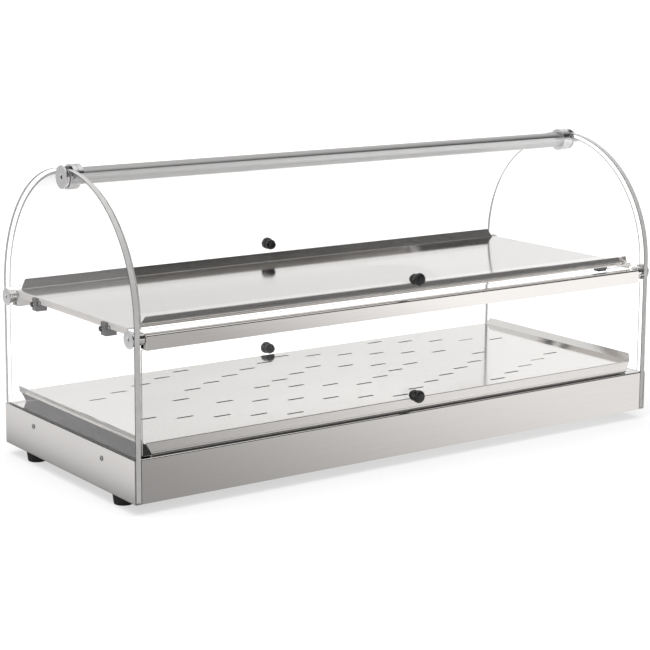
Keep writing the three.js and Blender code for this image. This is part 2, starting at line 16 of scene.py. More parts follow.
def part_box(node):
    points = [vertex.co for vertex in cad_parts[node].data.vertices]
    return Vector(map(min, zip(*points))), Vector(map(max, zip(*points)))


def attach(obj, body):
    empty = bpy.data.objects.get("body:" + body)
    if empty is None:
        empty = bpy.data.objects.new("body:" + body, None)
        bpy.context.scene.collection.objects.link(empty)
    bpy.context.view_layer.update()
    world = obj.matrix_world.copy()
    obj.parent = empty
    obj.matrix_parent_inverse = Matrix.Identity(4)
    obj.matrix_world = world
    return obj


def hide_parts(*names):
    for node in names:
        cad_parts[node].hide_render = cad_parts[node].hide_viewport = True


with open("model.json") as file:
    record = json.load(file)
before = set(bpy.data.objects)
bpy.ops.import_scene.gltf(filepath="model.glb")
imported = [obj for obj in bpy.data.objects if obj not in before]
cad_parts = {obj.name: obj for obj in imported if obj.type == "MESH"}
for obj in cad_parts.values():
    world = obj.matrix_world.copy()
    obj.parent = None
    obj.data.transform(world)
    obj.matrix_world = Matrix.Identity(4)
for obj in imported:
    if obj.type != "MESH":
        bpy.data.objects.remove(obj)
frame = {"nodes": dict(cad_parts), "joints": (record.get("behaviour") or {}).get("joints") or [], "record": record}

bl_info = {
    "name": "Hot food display case",
    "version": (1, 0, 0),
    "blender": (4, 5, 0),
    "location": "3D View > Sidebar > Display case",
    "description": "Sheet steel, acrylic and moulded parts of a two-tier display case",
    "category": "Object",
}

MM = 0.001
ENDS = (("left", -1), ("right", 1))
FACES = (("front", -1), ("rear", 1))
CORNERS = [(*face, *end) for end in ENDS for face in FACES]
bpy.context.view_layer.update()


# Clearance between neighbours, radii of bores and thicknesses of walls, in millimetres.
GAP = 0.3
SCREW_BORE = 2.3
HUB_BORE = 8.8
WALL_BORES = (("thermostat_knob", 4.3), ("pilot_lamp", 3.8), ("cable_gland", 6.3))
TUBE_WALL = 1.5
RAIL_WALL = 1.3
# How far a flap's shoulders stay below the hubs, and the height of the panels' rivets.
SHOULDER_DROP = 4.5
RIVET_HEIGHT = 217
# How far the top of the arch stands above the axis of the top tube.
ARCH_TO_TUBE = 10.6


def span(node):
    """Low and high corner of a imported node, in millimetres."""
    low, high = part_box(node)
    return low / MM, high / MM


def middle(node):
    low, high = span(node)
    return (low + high) / 2


def near_far(one, two):
    """Distances of a piece's two ends from the middle of the case, the nearer one first."""
    return sorted((abs(one), abs(two)))


# ---- drawing ----


def arc(u, v, radius, start, end, steps):
    """Points on an arc between two angles in degrees, both ends included."""
    turn = [math.radians(start + (end - start) * i / steps) for i in range(steps + 1)]
    return [(u + radius * math.cos(a), v + radius * math.sin(a)) for a in turn]


def circle(u, v, radius, steps=48):
    return arc(u, v, radius, 0, 360, steps)[:-1]


def softened(corners, closed=True, step=15):
    """Rounds a polyline's corners. A corner is (u, v) or (u, v, radius)."""
    result = []
    count = len(corners)
    for i, corner in enumerate(corners):
        here = Vector(corner[:2])
        radius = corner[2] if len(corner) > 2 else 0
        if radius == 0 or (not closed and i in (0, count - 1)):
            result.append(tuple(here))
            continue
        before = Vector(corners[i - 1][:2]) - here
        after = Vector(corners[(i + 1) % count][:2]) - here
        half = before.angle(after) / 2
        reach = min(radius / math.tan(half), 0.49 * before.length, 0.49 * after.length)
        radius = reach * math.tan(half)
        inward = (before.normalized() + after.normalized()).normalized()
        centre = here + inward * (radius / math.sin(half))
        first = here + before.normalized() * reach - centre
        last = here + after.normalized() * reach - centre
        sweep = first.angle_signed(last)
        pieces = max(2, round(abs(math.degrees(sweep)) / step))
        for k in range(pieces + 1):
            spoke = first.copy()
            spoke.rotate(Matrix.Rotation(-sweep * k / pieces, 2))
            result.append(tuple(centre + spoke))
    return result


def ring_of(bm, loop, height):
    return [bm.verts.new((u, v, height)) for u, v in loop]


def slab(outline, low, high, holes=(), between=()):
    """An outline in (u, v) with holes, run from w = low to w = high with rings between."""
    bm = bmesh.new()
    ends = {low: [], high: []}
    for loop in (outline, *holes):
        rings = [ring_of(bm, loop, level) for level in (low, *between, high)]
        for below, above in zip(rings, rings[1:]):
            for i in range(len(loop)):
                bm.faces.new((below[i - 1], below[i], above[i], above[i - 1]))
        for level, ring in ((low, rings[0]), (high, rings[-1])):
            ends[level] += [bm.edges.get((ring[i - 1], ring[i])) for i in range(len(loop))]
    for edges in ends.values():
        bmesh.ops.triangle_fill(bm, use_beauty=True, use_dissolve=False, edges=edges)
    return bm


ALONG_X = Matrix(((0, 0, 1, 0), (1, 0, 0, 0), (0, 1, 0, 0), (0, 0, 0, 1)))
ALONG_Y = Matrix(((1, 0, 0, 0), (0, 0, 1, 0), (0, 1, 0, 0), (0, 0, 0, 1)))


def laid(bm, axis):
    """Turns a slab so that its thickness runs along X or Y."""
    bm.transform(axis)
    return bm


def turned(profile, steps=48, closed=False):
    """A turned piece about Z from (radius, height) points.

    A point may carry a third value, a function of the angle that scales its radius.
    """
    bm = bmesh.new()
    rings = []
    for point in profile:
        radius, height = point[:2]
        shape = point[2] if len(point) > 2 else None
        if radius < 1e-6:
            rings.append([bm.verts.new((0, 0, height))])
            continue
        ring = []
        for k in range(steps):
            angle = 2 * math.pi * k / steps
            reach = radius * (shape(angle) if shape else 1)
            ring.append(bm.verts.new((reach * math.cos(angle), reach * math.sin(angle), height)))
        rings.append(ring)
    pairs = list(zip(rings, rings[1:]))
    if closed:
        pairs.append((rings[-1], rings[0]))
    for one, two in pairs:
        for k in range(steps):
            if len(one) == 1:
                corners = [one[0], two[k], two[k - 1]]
            elif len(two) == 1:
                corners = [one[k - 1], one[k], two[0]]
            else:
                corners = [one[k - 1], one[k], two[k], two[k - 1]]
            bm.faces.new(corners)
    return bm


def drill_bit(radius, low, high, steps=48):
    """A solid round about Z that cuts a bore."""
    return turned([(0, low), (radius, low), (radius, high), (0, high)], steps)


def hexagon(angle):
    """Scales a circle's radius to a hexagon of that size across corners."""
    return math.cos(math.pi / 6) / math.cos((angle % (math.pi / 3)) - math.pi / 6)


def fluted(count, depth):
    """Scales a circle's radius to a rim with shallow scallops."""
    return lambda angle: 1 - depth * (0.5 - 0.5 * math.cos(count * angle)) ** 2


def facing_x(bm, side, y, z):
    """Stands a turned piece on the X axis, pointing out of one end of the case."""
    bm.transform(Matrix.Translation((0, y, z)) @ Matrix.Rotation(side * math.pi / 2, 4, "Y"))
    return bm


def facing_y(bm, face, x, z):
    """Stands a turned piece on the Y axis, pointing out of the front or rear face."""
    bm.transform(Matrix.Translation((x, 0, z)) @ Matrix.Rotation(-face * math.pi / 2, 4, "X"))
    return bm


def mirrored(bm, side=1, face=1):
    bm.transform(Matrix.Diagonal((side, face, 1, 1)))
    return bm


def outward(bm):
    """Turns the faces of each closed shell in the shape to point out of it."""
    bmesh.ops.recalc_face_normals(bm, faces=bm.faces)
    waiting = set(bm.faces)
    while waiting:
        shell = set()
        edge_of_search = [waiting.pop()]
        while edge_of_search:
            face = edge_of_search.pop()
            shell.add(face)
            near = {other for edge in face.edges for other in edge.link_faces} & waiting
            waiting -= near
            edge_of_search.extend(near)
        volume = sum(f.calc_area() * f.normal.dot(f.calc_center_median()) for f in shell)
        if volume < 0:
            bmesh.ops.reverse_faces(bm, faces=list(shell))
    return bm


def eased(bm, width, segments=2, angle=40):
    """Rounds every edge that is sharper than the angle."""
    outward(bm)
    limit = math.radians(angle)
    sharp = [e for e in bm.edges if len(e.link_faces) == 2 and e.calc_face_angle(0) > limit]
    bmesh.ops.bevel(
        bm, geom=sharp, offset=width, segments=segments, profile=0.5, affect="EDGES",
        clamp_overlap=True,
    )
    return bm


def joined(*parts):
    """Several closed shapes in one mesh."""
    whole = parts[0]
    for part in parts[1:]:
        mesh = bpy.data.meshes.new("part")
        part.to_mesh(mesh)
        part.free()
        whole.from_mesh(mesh)
        bpy.data.meshes.remove(mesh)
    return whole


def combined(bm, tool, operation):
    """Joins ("UNION") or cuts ("DIFFERENCE") closed shapes."""
    objects = []
    for shape in (bm, tool):
        outward(shape)
        mesh = bpy.data.meshes.new("shape")
        shape.to_mesh(mesh)
        shape.free()
        objects.append(bpy.data.objects.new("shape", mesh))
        bpy.context.scene.collection.objects.link(objects[-1])
    base, cutter = objects
    boolean = base.modifiers.new("boolean", "BOOLEAN")
    boolean.operation = operation
    boolean.solver = "EXACT"
    boolean.object = cutter
    depsgraph = bpy.context.evaluated_depsgraph_get()
    result = bmesh.new()
    result.from_object(base, depsgraph)
    for leftover in objects:
        mesh = leftover.data
        bpy.data.objects.remove(leftover)
        bpy.data.meshes.remove(mesh)
    if not result.faces:
        raise RuntimeError("a boolean left nothing")
    return result


def finished(name, bm, body, slot, nodes, smooth=35, is_edge=None, material=None):
    """Makes an object of a drawn shape, gives it its finish and puts it on its body.

    is_edge picks the faces of an acrylic sheet that are its polished edges, painted as a grey sheen. Of those, the
    narrow ones turned between an edge and a face are its arrises, painted darker as shade.
    """
    outward(bm)
    if is_edge:
        for face in bm.faces:
            face.material_index = is_edge(face)
    bm.transform(Matrix.Scale(MM, 4))
    mesh = bpy.data.meshes.new(name)
    bm.to_mesh(mesh)
    bm.free()
    mesh.shade_smooth()
    mesh.set_sharp_from_angle(angle=math.radians(smooth))
    mesh.materials.append((material or FINISHES[slot])())
    if is_edge:
        # Edges get a painted grey sheen, and arrises a painted dark shade.
        mesh.materials.append(EDGE_PAINTED_SHEEN())
        mesh.materials.append(ARRIS_PAINTED_SHADE())
    piece = bpy.data.objects.new(name, mesh)
    bpy.context.scene.collection.objects.link(piece)
    flat = piece.modifiers.new("flat_faces_stay_flat", "WEIGHTED_NORMAL")
    flat.keep_sharp = True
    flat.weight = 90
    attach(piece, body)
    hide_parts(*nodes)
    return piece


# ---- materials ----


def linear(colour):
    """Linear RGBA from an sRGB hex value."""
    parts = [int(colour[i:i + 2], 16) / 255 for i in (1, 3, 5)]
    return (*[c / 12.92 if c <= 0.04045 else ((c + 0.055) / 1.055) ** 2.4 for c in parts], 1)


def add(tree, kind, settings=None, **sockets):
    """Adds a node. Sockets are named by their label with _ for a space, or in0, in1 by place."""
    node = tree.nodes.new(kind)
    for name, value in (settings or {}).items():
        setattr(node, name, value)
    for name, value in sockets.items():
        place = int(name[2:]) if name[:2] == "in" and name[2:].isdigit() else None
        socket = node.inputs[name.replace("_", " ") if place is None else place]
        if isinstance(value, bpy.types.NodeSocket):
            tree.links.new(value, socket)
        else:
            socket.default_value = value
    return node


def blank(name):
    """A new material holding only a texture coordinate node, with its tree and its object coordinates."""
    made = bpy.data.materials.new(name)
    made.use_nodes = True
    made.node_tree.nodes.clear()
    tree = made.node_tree
    place = add(tree, "ShaderNodeTexCoord").outputs["Object"]
    return made, tree, place


def close_up(tree, shader, bump=None):
    if bump is not None:
        tree.links.new(bump, shader.inputs["Normal"])
    add(tree, "ShaderNodeOutputMaterial", Surface=shader.outputs["BSDF"])


def per_mm(size):
    """Noise scale whose features are about this many millimetres across."""
    return 1 / (size * MM)


def rolled_steel(name, colour, dull, bright, grain, depth):
    """Stainless sheet or bar with a fine grain along one axis.

    grain holds the length of a grain line in mm along X, Y and Z. Lines are drawn coarser
    than a real 0.05 mm polish, so that they show as a faint streak and not as noise.
    """
    made, tree, place = blank(name)
    stretch = add(tree, "ShaderNodeMapping", Vector=place, Scale=[per_mm(g) for g in grain])
    lines = add(tree, "ShaderNodeTexNoise", Vector=stretch.outputs[0], Scale=1.0, Detail=3.0)
    cloud = add(tree, "ShaderNodeTexNoise", Vector=place, Scale=per_mm(140), Detail=2.0)
    both = add(
        tree, "ShaderNodeMix", {"data_type": "FLOAT"},
        Factor=0.35, A=lines.outputs["Fac"], B=cloud.outputs["Fac"],
    )
    rough = add(
        tree, "ShaderNodeMapRange", Value=both.outputs[0],
        From_Min=0.3, From_Max=0.7, To_Min=bright, To_Max=dull,
    )
    light = [min(1.0, c * 1.04) for c in colour[:3]]
    dark = [c * 0.95 for c in colour[:3]]
    tint = add(
        tree, "ShaderNodeMix", {"data_type": "RGBA"},
        in0=lines.outputs["Fac"], in6=(*dark, 1), in7=(*light, 1),
    )
    shader = add(
        tree, "ShaderNodeBsdfPrincipled", Base_Color=tint.outputs[2],
        Metallic=1.0, Roughness=rough.outputs[0],
    )
    bump = add(
        tree, "ShaderNodeBump", Strength=depth, Distance=0.0002,
        Height=lines.outputs["Fac"],
    )
    close_up(tree, shader, bump.outputs[0])
    return made


def bright_annealed_304():
    """Stainless 304, bright annealed: a near mirror that softens long reflections a little."""
    return rolled_steel(
        "bright_annealed_304_stainless", palette().polished_steel, 0.13, 0.06, (60, 1.2, 1.2), 0.02
    )


def drawn_304_tube():
    """Stainless 304 tube, drawn and buffed along its length: softer than the bright sheet."""
    return rolled_steel(
        "drawn_304_stainless_tube", palette().tube_steel, 0.34, 0.26, (60, 0.8, 0.8), 0.04
    )


def satin_304():
    """Stainless 304, belt polished: a soft sheen with a grain that runs along the sheet."""
    return rolled_steel(
        "satin_polished_304_stainless", palette().satin_steel, 0.42, 0.32, (1.0, 40, 1.0), 0.08
    )


def zinc_screw_steel():
    """Pressed steel screw, zinc plated and dulled: grey with small dark blotches."""
    return rolled_steel(
        "dull_zinc_plated_steel", palette().screw_steel, 0.5, 0.3, (0.8, 0.8, 0.8), 0.2
    )


def nickel_chrome():
    """Turned brass, nickel-chrome plated: the brightest metal, with faint tool rings."""
    made, tree, place = blank("nickel_chrome_plated_brass")
    rings = add(tree, "ShaderNodeTexNoise", Vector=place, Scale=per_mm(0.8), Detail=2.0)
    rough = add(
        tree, "ShaderNodeMapRange", Value=rings.outputs["Fac"],
        From_Min=0.3, From_Max=0.7, To_Min=0.05, To_Max=0.14,
    )
    shader = add(
        tree, "ShaderNodeBsdfPrincipled", Base_Color=palette().chrome,
        Metallic=1.0, Roughness=rough.outputs[0],
    )
    bump = add(
        tree, "ShaderNodeBump", Strength=0.03, Distance=0.0001, Height=rings.outputs["Fac"],
    )
    close_up(tree, shader, bump.outputs[0])
    return made


def cast_acrylic():
    """Cast PMMA with flame-polished edges: clear faces, and edges painted with the grey and white they gather.

    Lamps shine through it, so what stands behind it is lit. Faint wipe marks vary its gloss.
    """
    made, tree, place = blank("cast_acrylic_flame_polished")
    wipes = add(tree, "ShaderNodeTexNoise", Vector=place, Scale=per_mm(60), Detail=4.0)
    rough = add(
        tree, "ShaderNodeMapRange", Value=wipes.outputs["Fac"],
        From_Min=0.35, From_Max=0.75, To_Min=0.0, To_Max=0.02,
    )
    shader = add(
        tree, "ShaderNodeBsdfPrincipled", Base_Color=palette().acrylic,
        Roughness=rough.outputs[0], IOR=1.49, Transmission_Weight=1.0,
    )
    path = add(tree, "ShaderNodeLightPath")
    clear = add(tree, "ShaderNodeBsdfTransparent", Color=palette().acrylic)
    either = add(
        tree, "ShaderNodeMixShader", Fac=path.outputs["Is Shadow Ray"],
        in1=shader.outputs["BSDF"], in2=clear.outputs["BSDF"],
    )
    add(tree, "ShaderNodeOutputMaterial", Surface=either.outputs[0])
    return made


def acrylic_edge(name, dark, light):
    """The edge of cast PMMA, with faint drag marks from the flame, in two greys of painted light and shade."""
    made, tree, place = blank(name)
    drag = add(tree, "ShaderNodeTexNoise", Vector=place, Scale=per_mm(9), Detail=3.0)
    tint = add(
        tree, "ShaderNodeMix", {"data_type": "RGBA"}, in0=drag.outputs["Fac"],
        in6=linear(dark), in7=linear(light),
    )
    rough = add(
        tree, "ShaderNodeMapRange", Value=drag.outputs["Fac"],
        From_Min=0.3, From_Max=0.7, To_Min=0.08, To_Max=0.3,
    )
    shader = add(
        tree, "ShaderNodeBsdfPrincipled", Base_Color=tint.outputs[2],
        Roughness=rough.outputs[0], IOR=1.49, Alpha=0.88,
    )
    close_up(tree, shader)
    return made


def acrylic_edge_painted_sheen():
    """Flame-polished edge of cast PMMA: the sheet's light that it gathers is painted as a pale grey band."""
    # Painted sheen: these greys stand in for the light that the clear edge gathers.
    return acrylic_edge("cast_acrylic_edge_painted_sheen", "#969594", "#ACABAA")


def acrylic_arris_painted_shade():
    """Scraped corner of cast PMMA: its total reflection inside is painted as a thin dark line of shade."""
    # Painted shade: these dark greys stand in for the total reflection inside the arris.
    return acrylic_edge("cast_acrylic_arris_painted_shade", "#3C3D3D", "#555656")


def moulded(name, colour, dull, bright, grain, depth):
    """A moulded plastic or rubber: an even colour over a fine pebbled skin of grain mm."""
    made, tree, place = blank(name)
    skin = add(tree, "ShaderNodeTexNoise", Vector=place, Scale=per_mm(grain), Detail=4.0)
    wear = add(tree, "ShaderNodeTexNoise", Vector=place, Scale=per_mm(grain * 12), Detail=2.0)
    rough = add(
        tree, "ShaderNodeMapRange", Value=wear.outputs["Fac"],
        From_Min=0.3, From_Max=0.7, To_Min=bright, To_Max=dull,
    )
    pale = [c * 1.25 + 0.004 for c in colour[:3]]
    tint = add(
        tree, "ShaderNodeMix", {"data_type": "RGBA"},
        in0=skin.outputs["Fac"], in6=colour, in7=(*pale, 1),
    )
    shader = add(
        tree, "ShaderNodeBsdfPrincipled", Base_Color=tint.outputs[2],
        Roughness=rough.outputs[0], IOR=1.5,
    )
    bump = add(
        tree, "ShaderNodeBump", Strength=depth, Distance=0.0001, Height=skin.outputs["Fac"],
    )
    close_up(tree, shader, bump.outputs[0])
    return made


def black_phenolic():
    """Compression-moulded phenolic: deep black with a half gloss that catches a soft light."""
    return moulded("black_moulded_phenolic", palette().black_plastic, 0.34, 0.22, 0.5, 0.15)


def black_nylon():
    """Injection-moulded nylon 66: black, drier and a little greyer than the knobs."""
    return moulded("black_moulded_nylon", palette().black_nylon, 0.6, 0.45, 0.4, 0.3)


def foot_rubber():
    """Moulded neoprene: matt black with a dusty skin."""
    return moulded("black_neoprene_rubber", palette().rubber, 0.9, 0.75, 0.6, 0.5)


def heater_silicone():
    """Glass-reinforced silicone of the heating mat: brick red with a woven print of 1 mm."""
    return moulded("glass_reinforced_silicone", palette().silicone, 0.7, 0.55, 1.0, 0.6)


def mineral_board():
    """Pressed mineral fibre: chalky off-white with a rough fibrous face."""
    return moulded("pressed_mineral_fibre", palette().mineral_board, 0.98, 0.9, 2.0, 0.9)


def glazed_steatite():
    """Glazed steatite ceramic: warm white with a wet gloss."""
    return moulded("glazed_steatite_ceramic", palette().ceramic, 0.22, 0.12, 3.0, 0.05)


def amber_polycarbonate():
    """Moulded amber polycarbonate: lets light into it, with a shiny skin."""
    made, tree, place = blank("moulded_amber_polycarbonate")
    flow = add(tree, "ShaderNodeTexNoise", Vector=place, Scale=per_mm(4), Detail=2.0)
    rough = add(
        tree, "ShaderNodeMapRange", Value=flow.outputs["Fac"],
        From_Min=0.3, From_Max=0.7, To_Min=0.12, To_Max=0.22,
    )
    shader = add(
        tree, "ShaderNodeBsdfPrincipled", Base_Color=palette().amber,
        Roughness=rough.outputs[0], IOR=1.58, Transmission_Weight=0.35,
    )
    close_up(tree, shader)
    return made


def once(build):
    """Builds a material the first time it is asked for."""
    held = []

    def give():
        if not held:
            held.append(build())
        return held[0]

    return give


EDGE_PAINTED_SHEEN = once(acrylic_edge_painted_sheen)
ARRIS_PAINTED_SHADE = once(acrylic_arris_painted_shade)
DRAWN_TUBE = once(drawn_304_tube)

FINISHES = {
    "polished_steel": once(bright_annealed_304),
    "satin_steel": once(satin_304),
    "chrome_trim": once(nickel_chrome),
    "screw_steel": once(zinc_screw_steel),
    "clear_acrylic": once(cast_acrylic),
    "black_plastic": once(black_phenolic),
    "black_nylon": once(black_nylon),
    "foot_rubber": once(foot_rubber),
    "silicone_mat": once(heater_silicone),
    "mineral_board": once(mineral_board),
    "amber_lens": once(amber_polycarbonate),
    "ceramic": once(glazed_steatite),
}


# ---- settings that a user would change ----


def length_setting(name, description, metres):
    return FloatProperty(
        name=name, description=description, default=metres, min=0, unit="LENGTH",
    )


def colour_setting(name, description, value):
    return FloatVectorProperty(
        name=name, description=description, default=linear(value),
        subtype="COLOR", size=4, min=0, max=1,
    )


class CaseSizes(bpy.types.PropertyGroup):
    sheet: length_setting("Sheet", "Thickness of the stainless sheet", 0.0012)
    bend: length_setting("Bend", "Inside radius of a press-brake bend", 0.0008)
    acrylic_edge: length_setting(
        "Acrylic arris", "Width of the scraped arris on the side panels", 0.0006,
    )
    slot_length: length_setting("Slot length", "Length of a slot in the lower tray", 0.026)
    slot_width: length_setting("Slot width", "Width of a slot in the lower tray", 0.0042)
    flutes: IntProperty(
        name="Flutes", description="Scallops round the thermostat knob", default=18, min=6, max=40,
        subtype="UNSIGNED",
    )


class CasePalette(bpy.types.PropertyGroup):
    polished_steel: colour_setting("Bright steel", "Colour of the bright annealed sheet", "#E9E7E4")
    satin_steel: colour_setting("Satin steel", "Colour of the satin sheet", "#D3D2D0")
    tube_steel: colour_setting("Tube", "Colour of the drawn top tube", "#B2B1B0")
    chrome: colour_setting("Chrome", "Colour of the plated fittings", "#D6D6D7")
    screw_steel: colour_setting("Screws", "Colour of the screw heads", "#9A9A98")
    acrylic: colour_setting("Acrylic", "Colour of the clear sheet", "#FFFFFF")
    black_plastic: colour_setting("Knobs", "Colour of the knobs", "#0F0F11")
    black_nylon: colour_setting("Nylon", "Colour of the brackets and bushes", "#2B2B2C")
    rubber: colour_setting("Feet", "Colour of the feet", "#121212")
    silicone: colour_setting("Heating mat", "Colour of the heating mat", "#A4502F")
    mineral_board: colour_setting("Insulation", "Colour of the insulation board", "#DAD5C8")
    ceramic: colour_setting("Terminals", "Colour of the terminal block", "#E9E6DE")
    amber: colour_setting("Lamp", "Colour of the pilot lamp's lens", "#E8741E")


def millimetres(size):
    """One of the user's lengths, in the millimetres that the outlines are drawn in."""
    return getattr(bpy.context.scene.case_sizes, size) / MM


def palette():
    return bpy.context.scene.case_palette


# ---- stage ----

CAMERA_PLACE = (-1.497, -2.077, 0.687)
CAMERA_AZIMUTH = 35.42
CAMERA_DOWN = 9.86
CAMERA_ROLL = 0.34
LENS = 103.88
SENSOR_WIDTH = 36
SHIFT = (-0.0028, -0.0926)
FLOOR_REACH = 12
# Name, place, target, size in metres and watts of each soft light.
LAMPS = (
    ("overhead_softbox", (-0.3, -0.2, 2.6), (0, 0, 0), (3.4, 3.0), 95),
    ("front_softbox", (-1.2, -2.6, 1.6), (0, 0, 0.15), (1.8, 1.4), 26),
)


def make_camera():
    azimuth, down, roll = (math.radians(a) for a in (CAMERA_AZIMUTH, CAMERA_DOWN, CAMERA_ROLL))
    ahead = Vector((
        math.sin(azimuth) * math.cos(down), math.cos(azimuth) * math.cos(down), -math.sin(down),
    ))
    level = Vector((math.cos(azimuth), -math.sin(azimuth), 0))
    upright = level.cross(ahead)
    right = math.cos(roll) * level + math.sin(roll) * upright
    up = math.cos(roll) * upright - math.sin(roll) * level
    turn = Matrix((right, up, -ahead)).transposed().to_4x4()
    lens = bpy.data.cameras.new("camera")
    lens.lens = LENS
    lens.sensor_width = SENSOR_WIDTH
    lens.shift_x, lens.shift_y = SHIFT
    lens.clip_end = 100
    camera = bpy.data.objects.new("camera", lens)
    camera.matrix_world = Matrix.Translation(CAMERA_PLACE) @ turn
    bpy.context.scene.collection.objects.link(camera)
    bpy.context.scene.camera = camera


def make_floor():
    """A pale seamless floor. Polished metal sees on it a painted glow, grey and paler to the right."""
    bm = bmesh.new()
    bmesh.ops.create_grid(bm, x_segments=8, y_segments=8, size=FLOOR_REACH)
    mesh = bpy.data.meshes.new("studio_floor")
    bm.to_mesh(mesh)
    bm.free()
    floor = bpy.data.objects.new("studio_floor", mesh)
    bpy.context.scene.collection.objects.link(floor)
    made, tree, place = blank("matt_white_floor")
    grain = add(tree, "ShaderNodeTexNoise", Vector=place, Scale=per_mm(300), Detail=2.0)
    paint = add(
        tree, "ShaderNodeMix", {"data_type": "RGBA"}, in0=grain.outputs["Fac"],
        in6=linear("#F4F4F4"), in7=linear("#F8F8F8"),
    )
    white = add(tree, "ShaderNodeBsdfDiffuse", Color=paint.outputs[2])
    # What polished metal mirrors: a painted glow, grey and paler to the right, by one ramp near
    # the case and by another further in front of it.
    across = add(tree, "ShaderNodeSeparateXYZ", Vector=place)
    near = add(
        tree, "ShaderNodeMapRange", {"interpolation_type": "SMOOTHSTEP"},
        Value=across.outputs["X"], From_Min=-0.5, From_Max=0.5, To_Min=0.32, To_Max=0.92,
    )
    far = add(
        tree, "ShaderNodeMapRange", Value=across.outputs["X"],
        From_Min=0.20, From_Max=0.76, To_Min=0.50, To_Max=1.16,
    )
    distance = add(
        tree, "ShaderNodeMapRange", {"interpolation_type": "SMOOTHSTEP"},
        Value=across.outputs["Y"], From_Min=-0.55, From_Max=-0.85, To_Min=0.0, To_Max=1.0,
    )
    front = add(
        tree, "ShaderNodeMix", {"data_type": "FLOAT"},
        Factor=distance.outputs[0], A=near.outputs[0], B=far.outputs[0],
    )
    # To its left the painted glow is bright, and fades further off.
    beside = add(
        tree, "ShaderNodeMapRange", {"interpolation_type": "SMOOTHSTEP"},
        Value=across.outputs["X"], From_Min=-0.42, From_Max=-0.52, To_Min=0.0, To_Max=1.15,
    )
    fading = add(
        tree, "ShaderNodeMapRange", {"interpolation_type": "SMOOTHSTEP"},
        Value=across.outputs["X"], From_Min=-0.65, From_Max=-1.0, To_Min=1.0, To_Max=0.6,
    )
    left = add(
        tree, "ShaderNodeMath", {"operation": "MULTIPLY"},
        in0=beside.outputs[0], in1=fading.outputs[0],
    )
    painted_glow_strength = add(
        tree, "ShaderNodeMath", {"operation": "MAXIMUM"},
        in0=front.outputs[0], in1=left.outputs[0],
    )
    # Painted light: a glow that only reflections see, dim to the left and bright to the right.
    painted_reflection_glow = add(tree, "ShaderNodeEmission", Color=linear("#FFFDFD"), Strength=painted_glow_strength.outputs[0])
    path = add(tree, "ShaderNodeLightPath")
    # Seen directly it glows white, less near the case so that a soft shadow shows there.
    from_case = add(tree, "ShaderNodeVectorMath", {"operation": "LENGTH"}, in0=place)
    open_floor = add(
        tree, "ShaderNodeMapRange", {"interpolation_type": "SMOOTHSTEP"},
        Value=from_case.outputs["Value"],
        From_Min=0.7, From_Max=1.3, To_Min=0.57, To_Max=1.0,
    )
    behind_glass = add(
        tree, "ShaderNodeMapRange", Value=path.outputs["Is Transmission Ray"],
        To_Min=open_floor.outputs[0], To_Max=1.0,
    )
    glow = add(
        tree, "ShaderNodeEmission", Color=(1, 1, 1, 1), Strength=behind_glass.outputs[0],
    )
    dimmed = add(tree, "ShaderNodeBsdfDiffuse", Color=linear("#979797"))
    lit = add(tree, "ShaderNodeAddShader", in0=dimmed.outputs[0], in1=glow.outputs[0])
    direct = add(
        tree, "ShaderNodeMath", {"operation": "MAXIMUM"},
        in0=path.outputs["Is Camera Ray"], in1=path.outputs["Is Transmission Ray"],
    )
    bright = add(
        tree, "ShaderNodeMixShader", Fac=direct.outputs[0],
        in1=white.outputs[0], in2=lit.outputs[0],
    )
    mirrored_once = add(
        tree, "ShaderNodeMath", {"operation": "GREATER_THAN"},
        in0=path.outputs["Glossy Depth"], in1=0.5,
    )
    seen = add(
        tree, "ShaderNodeMixShader", Fac=mirrored_once.outputs[0],
        in1=bright.outputs[0], in2=painted_reflection_glow.outputs[0],
    )
    add(tree, "ShaderNodeOutputMaterial", Surface=seen.outputs[0])
    mesh.materials.append(made)


